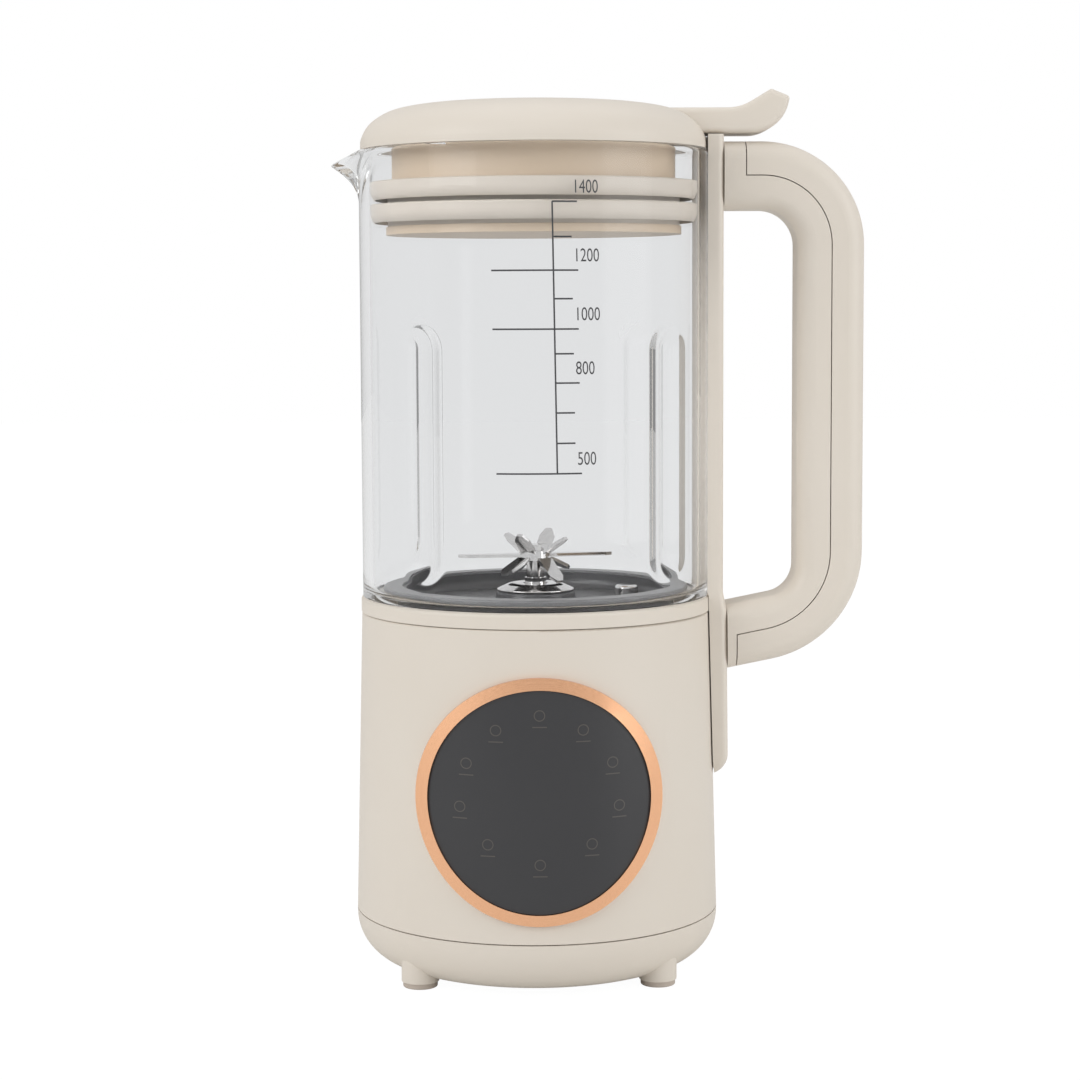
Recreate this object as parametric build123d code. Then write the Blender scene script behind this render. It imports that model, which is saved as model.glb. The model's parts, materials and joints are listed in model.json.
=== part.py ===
from build123d import *
import os
from math import atan2, cos, degrees, hypot, radians, sin

# A countertop soy milk maker: a heated glass jar with a lid, seated on a motor base.
# Millimetres. The floor is z = 0 and the jar's axis is Z. The panel faces -Y, the spout
# points to -X and the handle to +X. Every height is stacked up from the floor.

os.makedirs("parts", exist_ok=True)

# Clearances, and the length by which a cut runs past what it cuts
seat_gap = 0.3
fit_gap = 0.15
press_gap = 0.04
slide_gap = 0.6
overrun = 6.0

# Base case
base_radius = 63.4
case_taper = 2.7
case_wall = 2.5
case_edge = 0.6

# Feet and bottom cover
pad_radius = 5.9
pad_height = 2.0
pad_edge = 0.5
pad_stem_radius = 3.6
pad_stem_length = 3.0
post_radius = 6.4
post_height = 0.3
foot_inset = 9.2
foot_angle = 41.6
cover_depth = 18.0
cover_wall = 2.4
corner_share = 0.93
seam_gap = 0.4
lip_height = 4.0
lip_root = 3.0
lip_wall = 2.0
cover_boss_radius = 4.6
vent_width = 2.6
vent_pitch = 6.0
vent_radius = 27.0
vent_count = 8
screw_radius = 1.9
screw_head_radius = 3.4
screw_head_height = 2.0
screw_hold = 14.0
screw_clear = 3.0
boss_roof = 1.0

# Motor, stacked on the bottom cover
shaft_clear = 6.3
shaft_radius = 4.0
shaft_tail = 1.5
shaft_edge = 0.5
fan_radius = 28.0
fan_height = 10.0
fan_plate = 1.6
fan_hub_radius = 8.0
fan_blade_width = 1.4
fan_blade_count = 11
fan_blade_angle = 35
fan_gap = 2.0
bearing_width = 7.0
bearing_radius = 11.0
race_width = 2.2
shield_inset = 1.0
pocket_wall = 3.0
pocket_floor = 1.5
commutator_gap = 2.5
commutator_length = 12.0
commutator_radius = 11.0
bar_count = 16
bar_slot = 0.8
bar_slot_depth = 1.6
core_gap = 4.0
core_length = 28.0
core_radius = 18.0
rotor_slot_count = 12
rotor_slot_width = 2.4
rotor_slot_depth = 8.0
winding_gap = 0.3
winding_radius = 16.0
winding_inner = 6.0
winding_length = 6.0
air_gap = 0.5
motor_width = 80.0
motor_depth = 60.0
motor_corner = 12.0
yoke_wall_x = 9.0
yoke_wall_y = 8.0
pole_shoe = 3.5
pole_neck_width = 20.0
shoe_share = 0.8
coil_reach = 8.0
coil_leg = 6.5
coil_clear = 0.5
coil_low_y = 9.0
coil_edge = 1.5
bolt_radius = 2.0
bolt_head_radius = 3.4
bolt_head_height = 2.2
bolt_x = 34.0
bolt_y = 24.0
spacer_radius = 4.2
bracket_plate = 3.2
bracket_window = 10.0
bracket_window_out = 18.0
brush_width = 6.0
brush_height = 7.0
brush_length = 15.0
brush_wall = 1.3
brush_gap = 0.3
holder_inset = 1.5
coupling_gap = 1.5
coupling_hub_radius = 11.0
coupling_hub_height = 7.5
star_radius = 6.4
star_reach = 9.4
star_height = 7.5
star_tooth = 3.4
star_count = 6
grommet_radius = 5.0
grommet_height = 7.0
grommet_waist = 1.2
mount_x = 34.0
mount_y = 11.0
mount_post_radius = 4.4
mount_screw_hold = 7.0

# Top deck: the well that takes the foot of the jar
deck_wall = 2.2
well_inset = 7.1
well_depth = 16.3
rim_reach = 2.5
deck_hole_radius = 15.4
drip_collar_height = 1.4
deck_boss_radius = 3.8
deck_boss_inset = 4.6
deck_boss_length = 22.0
rib_width = 3.0

# Control panel, a round punch through the front of the case
panel_margin = 6.4
panel_radius = 41.1
ring_width = 3.8
ring_proud = 1.8
ring_taper = 0.2
glass_recess = 0.7
panel_glass_thickness = 2.2
carrier_thickness = 2.6
carrier_rim = 5.0
carrier_post_radius = 3.0
carrier_post_inset = 16.1
board_stand = 21.4
board_inset = 10.6
board_thickness = 1.6
display_width = 26.0
display_height = 12.0
display_depth = 9.0
display_edge = 1.0
touch_inset = 17.1
touch_radius = 3.4
touch_wall = 0.7
touch_count = 10

# Power board and mains inlet at the rear
power_board_stand = 23.4
power_board_width = 60.0
power_board_low = 57.0
power_board_height = 36.0
rail_wall = 1.6
rail_reach = 3.4
relay_width = 18.0
relay_height = 15.0
relay_depth = 10.5
transformer_width = 20.0
transformer_height = 16.0
transformer_depth = 11.0
capacitor_radius = 5.0
capacitor_height = 14.0
capacitor_sink = 0.5
inlet_height = 41.0
inlet_width = 27.0
inlet_tall = 19.6
inlet_depth = 20.0
inlet_flange = 2.0
inlet_flange_reach = 2.2
inlet_recess = 3.0
inlet_backing = 2.6
inlet_wall = 1.4
inlet_socket_depth = 16.0
inlet_chamfer = 4.0
blade_pin_width = 2.0
blade_pin_tall = 4.0
blade_pin_length = 9.0
blade_pin_spread = 7.0
blade_pin_offset = 2.0

# Connectors between base and jar
socket_inset = 17.6
plug_width = 25.0
plug_depth = 11.0
plug_rise = 6.2
plug_root = 8.0
plug_flange = 2.5
plug_flange_reach = 2.5
pin_radius = 1.0
pin_clear = 0.6
pin_length = 6.0
pin_pitch = 4.8
pin_count = 5
shroud_wall = 2.0
shroud_gap = 1.5
shroud_roof = 5.6

# Jar foot
collar_height = 5.1
collar_lap = 0.2
collar_wall = 2.7
collar_edge = 1.2
ledge_thickness = 2.0
ledge_reach = 10.3
skirt_clear = 2.8
skirt_play = 1.2
skirt_wall = 2.0
skirt_flange_inset = 3.5
skirt_edge = 2.0
jar_post_radius = 3.6
jar_post_place = 21.0
jar_post_count = 3
jar_post_angle = 30
jar_screw_head = 2.5

# Glass jar
glass_step = 0.6
glass_wall = 3.5
glass_height = 156.5
glass_floor = 4.0
glass_foot_step = 2.4
glass_floor_lap = 11.8
glass_shoulder = 0.3
glass_inner_round = 3.6
rim_round = 1.2
rib_low = 12.5
rib_length = 83.0
rib_radius = 7.0
rib_axis_out = 0.4
rib_count = 4
rib_turn_angle = 48.5
spout_drop = 14.5
spout_reach = 15.8
spout_half = 23.0
spout_root_half = 2.5
spout_round = 3.0
spout_root_round = 1.0
spout_dip = 11.0
spout_wall = 3.2
beak_wall_share = 1.35
dip_run_share = 1.5
dip_share = 0.9

# Heating bowl, gasket and drive through the bowl
gasket_inset = 7.0
gasket_width = 6.7
gasket_height = 2.4
gasket_lip = 0.8
bowl_clear = 2.5
bowl_rim_reach = 5.0
bowl_wall = 0.8
bowl_round = 4.0
hump_radius = 13.5
hump_height = 4.0
hump_draft = 0.8
neck_hole_radius = 8.3
heat_plate_inset = 3.5
heat_plate_clear = 1.6
heat_plate_thickness = 3.0
element_inset = 8.5
element_radius = 3.0
element_sink = 1.5
element_gap_angle = 100
terminal_radius = 1.4
terminal_length = 5.0
probe_radius = 4.3
probe_inset = 9.0
probe_angle = 27
probe_rise = 4.0
probe_stem_radius = 2.6
probe_stem_length = 12.0
thermostat_radius = 7.6
thermostat_height = 5.0
thermostat_cap = 1.5
thermostat_angle = -25
seat_flange_radius = 25.4
seat_flange = 4.0
seat_body_radius = 13.6
seat_neck_radius = 8.0
seat_neck_rise = 1.4
bush_wall = 1.4
bush_length = 5.6
seal_height = 2.4
seal_clear = 0.3
nut_radius = 13.5
nut_edge = 0.8
nut_dome = 2.0
nut_crown_round = 4.0
nut_top_radius = 7.0
nut_slot_radius = 9.3
nut_slot_width = 1.8
nut_slot_count = 4
nut_slot_angle = 48

# Blades
sleeve_radius = 3.1
sleeve_collar_radius = 3.8
sleeve_collar = 1.6
sleeve_length = 7.8
spindle_radius = 2.6
blade_thickness = 1.1
blade_hub_radius = 5.4
blade_nut_radius = 3.9
blade_nut_height = 2.1
long_blade_reach = 27.2
long_blade_root = 7.4
long_blade_tip = 3.6
long_blade_angle = 8
long_blade_point_share = 0.9
blade_bevel_share = 0.7
wing_root = 4.7
upper_wing_length = 9.4
upper_wing_width = 5.6
lower_wing_length = 10.8
lower_wing_width = 5.8
upper_tip_share = 0.7
lower_tip_share = 0.78
wing_count = 4
upper_wing_lift_angles = (52, 38, 46, 34)
lower_wing_drop_angles = (42, 24, 36, 27)
upper_turn_angle = 58
lower_turn_angle = -52

# Drive from the base coupling to the blades
mesh_gap = 1.0
driven_radius = 13.0
driven_cap = 3.1
driven_gap = 0.6
tooth_gap = 0.4
star_clear = 0.8

# Spine and handle
spine_gap = 0.3
spine_top = 5.0
spine_out = 4.6
spine_half = 12.3
spine_edge = 2.2
tongue_gap = 0.5
tongue_out = 1.3
tongue_flare = 0.6
tongue_length = 58.8
tongue_round = 8.0
handle_reach = 53.4
handle_thickness = 23.1
handle_half = 12.3
handle_rise = 2.7
handle_arm = 23.3
handle_outer_round = 35.5
handle_inner_round = 12.2
handle_low_round = 39.0
handle_low_inner_round = 10.5
handle_low_drop = 21.2
handle_low_arm = 22.4
handle_slope_share = 0.2
handle_edge = 6.0
handle_wall = 2.6
handle_split = 0.35
handle_split_start = 7.8
handle_low_split_start = 5.0
handle_screw_radius = 1.5
handle_screw_head = 2.8
handle_screw_length = 6.5
sensor_width = 4.0
sensor_length = 14.0
sensor_height = 4.0
sensor_edge = 0.5

# Lid
lid_step = 0.6
lid_height = 15.8
lid_wall = 2.2
lid_flange = 2.0
dome_shares = ((0, 1.0), (0.40, 0.983), (0.652, 0.948), (0.768, 0.885), (0.845, 0.80),
               (0.893, 0.705), (0.932, 0.60), (0.966, 0.46), (0.99, 0.29), (1.0, 0.13))
seal_reach = 7.6
plug_wall = 2.2
plug_length = 29.1
plug_rim = 2.1
plug_rim_height = 2.8
plug_engage = 8.0
seal_face = 7.4
seal_step = 0.3
seal_wall = 1.5
seal_round = 4.6
seal_top_round = 0.7
tab_half = 11.0
tab_root = 14.5
tab_top = 13.8
tab_gap = 0.4
tab_flat = 25.5
tab_reach = 27.9
tab_rise = 12.4
tab_tip_back = 6.4
tab_tip_up = 2.6
tab_top_flat = 11.0
tab_under_round = 13.0
tab_top_round = 16.0
tab_tip_round = 1.2
tab_edge = 2.0
magnet_radius = 3.5
magnet_height = 3.0
magnet_cover = 1.2

# Radii that follow from the case's, from the base out to the jar and the lid
neck_radius = base_radius - case_taper
foot_x = (base_radius - foot_inset) * cos(radians(foot_angle))
foot_y = (base_radius - foot_inset) * sin(radians(foot_angle))
well_radius = neck_radius - well_inset
deck_boss_place = well_radius - deck_boss_inset
carrier_post_place = panel_radius - carrier_post_inset
board_radius = panel_radius - board_inset
touch_place = panel_radius - touch_inset
board_back = base_radius - board_stand
power_board_y = base_radius - power_board_stand
plug_y = well_radius - socket_inset
collar_radius = neck_radius + collar_lap
skirt_radius = well_radius - skirt_play
skirt_flange_radius = collar_radius - skirt_flange_inset
glass_radius = collar_radius - glass_step
glass_foot_radius = glass_radius - glass_foot_step
glass_floor_inner = glass_radius - glass_floor_lap
ledge_inner = glass_radius - ledge_reach
gasket_outer = glass_radius - gasket_inset
gasket_inner = gasket_outer - gasket_width
bowl_radius = glass_floor_inner - bowl_clear
bowl_rim_radius = bowl_radius + bowl_rim_reach
heat_plate_outer = bowl_radius - heat_plate_inset
heat_plate_inner = seat_flange_radius + heat_plate_clear
element_place = heat_plate_outer - element_inset
probe_place = bowl_radius - probe_inset
lid_radius = glass_radius - lid_step
seal_radius = glass_radius - glass_wall - seat_gap
plug_wall_radius = seal_radius - seal_reach

# Heights that follow from the stack, from the floor up
cover_under = pad_height + post_height
cover_floor = cover_under + cover_wall
seam_height = cover_under + cover_depth
case_low = seam_height + seam_gap
panel_height = case_low + panel_margin + panel_radius
shaft_low = cover_floor + shaft_clear
fan_low = shaft_low + shaft_tail
lower_bearing_low = fan_low + fan_height + fan_gap
lower_bearing_top = lower_bearing_low + bearing_width
commutator_low = lower_bearing_top + commutator_gap
core_low = commutator_low + commutator_length + core_gap
core_top = core_low + core_length
upper_bearing_low = core_top + coil_reach + fan_gap
upper_bearing_top = upper_bearing_low + bearing_width
coupling_low = upper_bearing_top + coupling_gap
deck_low = coupling_low + coupling_hub_height
deck_top = deck_low + deck_wall
flange_top = deck_top + well_depth
case_top = flange_top + rim_reach
collar_low = case_top + seat_gap
collar_top = collar_low + collar_height
ledge_top = collar_low + ledge_thickness
glass_low = ledge_top + fit_gap
glass_floor_top = glass_low + glass_floor
rim_height = glass_low + glass_height
gasket_low = glass_floor_top + press_gap
gasket_top = gasket_low + gasket_height
bowl_rim_top = gasket_low + gasket_lip + bowl_wall
bowl_floor_top = glass_low
bowl_under = bowl_floor_top - bowl_wall
hump_top = bowl_floor_top + hump_height
skirt_low = deck_top + skirt_clear
skirt_top = collar_low - press_gap
driven_low = deck_low + mesh_gap
driven_recess_top = driven_low + star_height - mesh_gap + star_clear
driven_top = driven_recess_top + driven_cap
seat_low = driven_top + driven_gap
seat_flange_top = bowl_under - seat_gap
nut_low = hump_top + press_gap
nut_top = nut_low + nut_edge + nut_dome
sleeve_low = nut_top + seat_gap
blade_low = sleeve_low + sleeve_length
spine_high = rim_height + spine_top
handle_high = rim_height + handle_rise
lid_low = rim_height + seat_gap

pieces = {}


def case_radius(height, out=0):
    # Radius of the case's outer cone at a height, moved outward by the second value.
    share = (height - seam_height) / (case_top - seam_height)
    return base_radius + (neck_radius - base_radius) * share + out


def turned(points, radii=None):
    # A solid of revolution about Z from (radius, height) points, some corners rounded.
    if radii:
        outline = FilletPolyline(*points, radius=radii, close=True)
    else:
        outline = Polyline(*points, close=True)
    return revolve(Plane.XZ * make_face(outline), Axis.Z)


def drum(radius, low, high, x=0, y=0):
    upright = (Align.CENTER, Align.CENTER, Align.MIN)
    return Pos(x, y, low) * Cylinder(radius, high - low, align=upright)


def tube(outer, inner, low, high, x=0, y=0):
    return drum(outer, low, high, x, y) - drum(inner, low, high, x, y)


def block(x_low, x_high, y_low, y_high, z_low, z_high):
    corner = (Align.MIN, Align.MIN, Align.MIN)
    return Pos(x_low, y_low, z_low) * Box(x_high - x_low, y_high - y_low, z_high - z_low, align=corner)


def plate(width, depth, corner, low, high):
    return Pos(0, 0, low) * extrude(RectangleRounded(width, depth, corner), high - low)


def punch(radius, near, far, x=0, z=0):
    # A rod along Y from y = -near out to y = -far.
    upright = (Align.CENTER, Align.CENTER, Align.MIN)
    return Pos(x, -near, z) * Rot(X=90) * Cylinder(radius, far - near, align=upright)


def side_profile(outline, half):
    # A solid from an outline in the XZ plane, as thick as twice the half width.
    return extrude(Plane.XZ * make_face(outline), half, both=True)


def polar(radius, angle):
    return radius * cos(radians(angle)), radius * sin(radians(angle))


def ring_places(radius, count, first_angle=0):
    return [polar(radius, first_angle + 360 / count * step) for step in range(count)]


def four_corners(x, y):
    return [(side * x, end * y) for side in (-1, 1) for end in (-1, 1)]


def screw(x, y, seat, tip, up=True):
    # A pan-head screw: its head rests on the seat and its shank runs to the tip.
    if up:
        head = drum(screw_head_radius, seat - screw_head_height, seat, x, y)
        return head + drum(screw_radius, seat, tip, x, y)
    head = drum(screw_head_radius, seat, seat + screw_head_height, x, y)
    return head + drum(screw_radius, tip, seat, x, y)


def case_shell(inward, outward, low, high):
    # The zone between two copies of the case's cone.
    return turned([
        (case_radius(low, inward), low),
        (case_radius(low, outward), low),
        (case_radius(high, outward), high),
        (case_radius(high, inward), high),
    ])


# Bottom cover and feet

def make_bottom_cover():
    corner = cover_depth * corner_share
    inner_radius = base_radius - cover_wall
    high = seam_height + overrun
    outside = turned(
        [(0, cover_under), (base_radius, cover_under), (base_radius, seam_height), (0, seam_height)],
        [0, corner, 0, 0],
    )
    inside = turned(
        [(0, cover_floor), (inner_radius, cover_floor), (inner_radius, high), (0, high)],
        [0, corner - cover_wall, 0, 0],
    )
    body = outside - inside
    lip_radius = case_radius(seam_height) - case_wall - fit_gap
    lip_top = seam_height + lip_height
    body += tube(base_radius - cover_wall / 2, lip_radius - lip_wall, seam_height - lip_root, seam_height)
    body += tube(lip_radius, lip_radius - lip_wall, seam_height - lip_root, lip_top)
    barrel = drum(base_radius - fit_gap, pad_height, seam_height)
    for x, y in four_corners(foot_x, foot_y):
        body += drum(post_radius, pad_height, seam_height - lip_root, x, y) & barrel
        body += drum(cover_boss_radius, seam_height - lip_root, lip_top, x, y) & drum(lip_radius, 0, lip_top)
    for x, y in four_corners(foot_x, foot_y):
        body -= drum(screw_head_radius + fit_gap, 0, cover_screw_seat, x, y)
        body -= drum(pad_stem_radius + fit_gap, 0, cover_screw_seat - screw_head_height, x, y)
        body -= drum(screw_radius + fit_gap, 0, lip_top + overrun, x, y)
    for step in range(vent_count):
        x = (step - (vent_count - 1) / 2) * vent_pitch
        half = (vent_radius ** 2 - x ** 2) ** 0.5
        slot = Pos(x, 0, cover_under) * SlotOverall(2 * half, vent_width, rotation=90)
        body -= extrude(slot, cover_wall + fit_gap, both=True)
    return body


def make_foot_pads():
    pads = Part()
    for x, y in four_corners(foot_x, foot_y):
        sole = drum(pad_radius, 0, pad_height, x, y)
        sole = fillet(sole.edges().group_by(Axis.Z)[0], pad_edge)
        pads += sole + drum(pad_stem_radius, pad_height, pad_height + pad_stem_length, x, y)
    return pads


cover_screw_seat = pad_height + pad_stem_length + fit_gap + screw_head_height
cover_boss_top = seam_height + lip_height + seat_gap
pieces["bottom_cover"] = make_bottom_cover()
pieces["foot_pads"] = make_foot_pads()


# Case of the base

def deck_boss_places():
    return ring_places(deck_boss_place, 4, 45)


def wall_rib(x, y, low, high):
    # An upright rib from a screw boss out to the case's outside, to be cut to the case's form.
    rib = block(hypot(x, y), base_radius, -rib_width / 2, rib_width / 2, low, high)
    return Rot(Z=degrees(atan2(y, x))) * rib


def make_base_housing():
    low, high = case_low, case_top
    outside = turned(
        [(0, low), (case_radius(low), low), (case_radius(high), high), (0, high)],
        [0, 0, case_edge, 0],
    )
    bottom, top = low - overrun, high + overrun
    inside = turned([
        (0, bottom),
        (case_radius(bottom, -case_wall), bottom),
        (case_radius(top, -case_wall), top),
        (0, top),
    ])
    body = outside - inside
    fill = turned([(0, low), (case_radius(low), low), (case_radius(high), high), (0, high)])

    # Screw bosses for the bottom cover, low in the case, each on a rib from the wall
    boss_high = cover_boss_top + screw_hold
    for x, y in four_corners(foot_x, foot_y):
        body += wall_rib(x, y, cover_boss_top, boss_high) & fill
        body += drum(cover_boss_radius, cover_boss_top, boss_high, x, y) & fill
        body -= drum(screw_radius + press_gap, cover_boss_top, boss_high - boss_roof, x, y)

    # Screw bosses for the top deck, each on a rib from the wall
    boss_top = deck_low - fit_gap
    boss_low = boss_top - deck_boss_length
    for x, y in deck_boss_places():
        body += wall_rib(x, y, boss_low, boss_top) & fill
        body += drum(deck_boss_radius, boss_low, boss_top, x, y)
        body -= drum(screw_radius + press_gap, boss_low + rib_width, boss_top, x, y)

    # Round punch for the control panel
    body -= punch(panel_radius - ring_width / 2, base_radius / 2, base_radius + overrun, 0, panel_height)

    # Flat seat for the mains inlet, set into the rear wall
    half_x = inlet_width / 2 + inlet_flange_reach + fit_gap
    half_z = inlet_tall / 2 + inlet_flange_reach + fit_gap
    middle = inlet_middle
    backing = block(
        -half_x - case_wall, half_x + case_wall, inlet_seat - inlet_backing, base_radius,
        middle - half_z - case_wall, middle + half_z + case_wall,
    )
    body += backing & fill
    body -= block(
        -half_x, half_x, inlet_seat, base_radius + overrun, middle - half_z, middle + half_z,
    )
    body -= block(
        -inlet_width / 2 - fit_gap, inlet_width / 2 + fit_gap, inlet_seat - inlet_backing - overrun,
        inlet_seat, middle - inlet_tall / 2 - fit_gap, middle + inlet_tall / 2 + fit_gap,
    )

    # Grooved rails that hold the power board by its side edges
    for side in (-1, 1):
        edge = power_board_width / 2
        rail = block(
            edge - rail_reach / 2, edge + rail_wall, power_board_y - rail_wall,
            power_board_y + board_thickness + rail_wall, power_board_low,
            power_board_low + power_board_height,
        )
        web = block(
            edge + fit_gap, edge + rail_wall, power_board_y, base_radius, power_board_low,
            power_board_low + power_board_height,
        )
        groove = block(
            0, edge + fit_gap, power_board_y - fit_gap, power_board_y + board_thickness + fit_gap,
            power_board_low, power_board_low + power_board_height,
        )
        holder = (rail + web - groove) & fill
        if side < 0:
            holder = mirror(holder, about=Plane.YZ)
        body += holder
    return body


inlet_seat = case_radius(inlet_height) - inlet_recess - inlet_flange
inlet_middle = inlet_height
pieces["base_housing"] = make_base_housing()


def make_case_screws():
    screws = Part()
    for x, y in four_corners(foot_x, foot_y):
        screws += screw(x, y, cover_screw_seat, cover_boss_top + screw_hold - screw_clear)
    for x, y in deck_boss_places():
        screws += screw(x, y, deck_top + press_gap, deck_low - screw_hold, up=False)
    return screws


pieces["case_screws"] = make_case_screws()


# Top deck with its well, motor posts and connector window

def make_top_deck():
    outer = case_radius(flange_top) - case_wall - fit_gap
    flange_low = flange_top - deck_wall
    well_out = well_radius + deck_wall
    body = turned([
        (deck_hole_radius, deck_low),
        (well_out, deck_low),
        (well_out, flange_low),
        (outer, flange_low),
        (outer, flange_top),
        (well_radius, flange_top),
        (well_radius, deck_top),
        (deck_hole_radius, deck_top),
    ])
    body += tube(deck_hole_radius + deck_wall, deck_hole_radius, deck_low, deck_top + drip_collar_height)
    for x, y in four_corners(mount_x, mount_y):
        body += drum(mount_post_radius, grommet_top + press_gap, deck_low, x, y)
        body -= drum(screw_radius + press_gap, grommet_top, deck_low, x, y)
    for x, y in deck_boss_places():
        body -= drum(screw_radius + fit_gap, deck_low - overrun, deck_top + overrun, x, y)
    half_x = plug_width / 2 + fit_gap
    half_y = plug_depth / 2 + fit_gap
    window = block(-half_x, half_x, plug_y - half_y, plug_y + half_y, deck_low - overrun, deck_top + overrun)
    return body - window


upper_bracket_low = upper_bearing_low + pocket_floor - fit_gap
upper_bracket_top = upper_bracket_low + bracket_plate
grommet_low = (upper_bracket_low + upper_bracket_top - grommet_height) / 2
grommet_top = grommet_low + grommet_height
pieces["top_deck"] = make_top_deck()


# Control panel

def make_trim_ring():
    low = panel_height - panel_radius - overrun
    high = panel_height + panel_radius + overrun
    inner = panel_radius - ring_width
    lap = panel_radius - ring_width / 2 - fit_gap
    start = base_radius / 2
    finish = base_radius + overrun
    face_zone = case_shell(press_gap, ring_proud, low, high)
    crown = case_radius(panel_height) + ring_proud
    narrow = panel_radius - ring_taper * (finish - crown) / ring_proud
    wide = panel_radius + ring_taper * (crown - start) / ring_proud
    outer_cone = loft([
        Plane(origin=(0, -start, panel_height), z_dir=(0, -1, 0)) * Circle(wide),
        Plane(origin=(0, -finish, panel_height), z_dir=(0, -1, 0)) * Circle(narrow),
    ])
    straight = punch(panel_radius + ring_taper, start, finish, 0, panel_height)
    face = face_zone & outer_cone & straight
    neck = case_shell(-case_wall, ring_proud / 2, low, high) & punch(lap, start, finish, 0, panel_height)
    return face + neck - punch(inner, 0, finish + overrun, 0, panel_height)


def make_panel_glass():
    low = panel_height - panel_radius - overrun
    high = panel_height + panel_radius + overrun
    outer = ring_proud - glass_recess
    zone = case_shell(outer - panel_glass_thickness, outer, low, high)
    radius = panel_radius - ring_width - fit_gap
    return zone & punch(radius, base_radius / 2, base_radius + overrun, 0, panel_height)


def make_panel_carrier():
    low = panel_height - panel_radius - overrun
    high = panel_height + panel_radius + overrun
    outer = ring_proud - glass_recess - panel_glass_thickness - fit_gap
    radius = panel_radius - ring_width - fit_gap
    start = base_radius / 2
    finish = base_radius + overrun
    zone = case_shell(outer - carrier_thickness, outer, low, high)
    body = zone & punch(radius, start, finish, 0, panel_height)
    body -= punch(radius - carrier_rim, 0, finish, 0, panel_height)
    inside = turned([
        (0, low),
        (case_radius(low, outer - press_gap), low),
        (case_radius(high, outer - press_gap), high),
        (0, high),
    ])
    front = board_back + board_thickness + fit_gap
    for x, z in four_corners(carrier_post_place, carrier_post_place):
        post = punch(carrier_post_radius, front, finish, x, panel_height + z)
        body += post & inside & punch(radius, start, finish, 0, panel_height)
    return body


def make_control_board():
    front = board_back + board_thickness
    board = punch(board_radius, board_back, front, 0, panel_height)
    reach = hypot(carrier_post_place, carrier_post_place)
    bar = block(-reach, reach, -front, -board_back, -carrier_post_radius, carrier_post_radius)
    for angle in (45, -45):
        board += Pos(0, 0, panel_height) * Rot(Y=angle) * bar
    for x, z in four_corners(carrier_post_place, carrier_post_place):
        ear = punch(carrier_post_radius * 2, board_back, front, x, panel_height + z)
        board += ear & punch(panel_radius - ring_width, board_back, front, 0, panel_height)
    return board


def make_display():
    front = board_back + board_thickness + press_gap
    half_x = display_width / 2
    half_z = display_height / 2
    body = block(
        -half_x, half_x, -front - display_depth, -front, panel_height - half_z, panel_height + half_z,
    )
    return fillet(body.edges().filter_by(Axis.Y), display_edge)


def make_touch_springs():
    low = panel_height - panel_radius - overrun
    high = panel_height + panel_radius + overrun
    outer = ring_proud - glass_recess - panel_glass_thickness - seat_gap
    inside = turned([
        (0, low),
        (case_radius(low, outer), low),
        (case_radius(high, outer), high),
        (0, high),
    ])
    front = board_back + board_thickness + press_gap
    finish = base_radius + overrun
    springs = Part()
    for x, z in ring_places(touch_place, touch_count, 90):
        coil = punch(touch_radius, front, finish, x, panel_height + z)
        coil -= punch(touch_radius - touch_wall, front, finish, x, panel_height + z)
        springs += coil & inside
    return springs


pieces["trim_ring"] = make_trim_ring()
pieces["panel_glass"] = make_panel_glass()
pieces["panel_carrier"] = make_panel_carrier()
pieces["control_board"] = make_control_board()
pieces["display_module"] = make_display()
pieces["touch_springs"] = make_touch_springs()


# Power board and mains inlet

def make_power_board():
    back = power_board_y + board_thickness
    half = power_board_width / 2
    top = power_board_low + power_board_height
    board = block(-half, half, power_board_y, back, power_board_low, top)
    middle = power_board_low + power_board_height / 2
    relay_x = half / 2
    board += block(
        -relay_x - relay_width / 3, -relay_x + relay_width * 2 / 3, back, back + relay_depth,
        middle - relay_height / 2, middle + relay_height / 2,
    )
    board += block(
        0, transformer_width, back, back + transformer_depth, middle - transformer_height,
        middle,
    )
    board += drum(
        capacitor_radius, middle + capacitor_radius / 2, middle + capacitor_radius / 2 + capacitor_height,
        transformer_width / 2, back + capacitor_radius - capacitor_sink,
    )
    return board


def inlet_shape(width, tall, cut):
    # The mains socket's outline: a rectangle with its two upper corners cut off.
    left, right = -width / 2, width / 2
    low, high = -tall / 2, tall / 2
    return Polyline(
        (left, low), (right, low), (right, high - cut), (right - cut, high), (left + cut, high),
        (left, high - cut), close=True,
    )


def inlet_solid(face, near, far):
    # A solid pushed rearward from a face that is drawn as seen from behind.
    rear = Plane(origin=(0, near, inlet_middle), x_dir=(-1, 0, 0), z_dir=(0, 1, 0))
    return extrude(rear * face, far - near)


def make_power_inlet():
    face = inlet_seat + inlet_flange
    back = face - inlet_depth
    shape = make_face(inlet_shape(inlet_width, inlet_tall, inlet_chamfer))
    body = inlet_solid(shape, back, face)
    rim = RectangleRounded(
        inlet_width + 2 * inlet_flange_reach, inlet_tall + 2 * inlet_flange_reach, inlet_flange_reach,
    )
    body += inlet_solid(rim, inlet_seat + press_gap, face)
    hollow = inlet_shape(
        inlet_width - 2 * inlet_wall, inlet_tall - 2 * inlet_wall, inlet_chamfer - inlet_wall / 2,
    )
    floor = face - inlet_socket_depth
    body -= inlet_solid(make_face(hollow), floor, face + overrun)
    live, neutral = (-blade_pin_spread, -blade_pin_offset), (blade_pin_spread, -blade_pin_offset)
    for x, z in (live, neutral, (0, blade_pin_offset)):
        half_x = blade_pin_width / 2
        middle = inlet_middle + z
        body += block(
            x - half_x, x + half_x, back - blade_pin_tall, floor + blade_pin_length,
            middle - blade_pin_tall / 2, middle + blade_pin_tall / 2,
        )
    return body


pieces["power_board"] = make_power_board()
pieces["power_inlet"] = make_power_inlet()


# Motor

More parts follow.
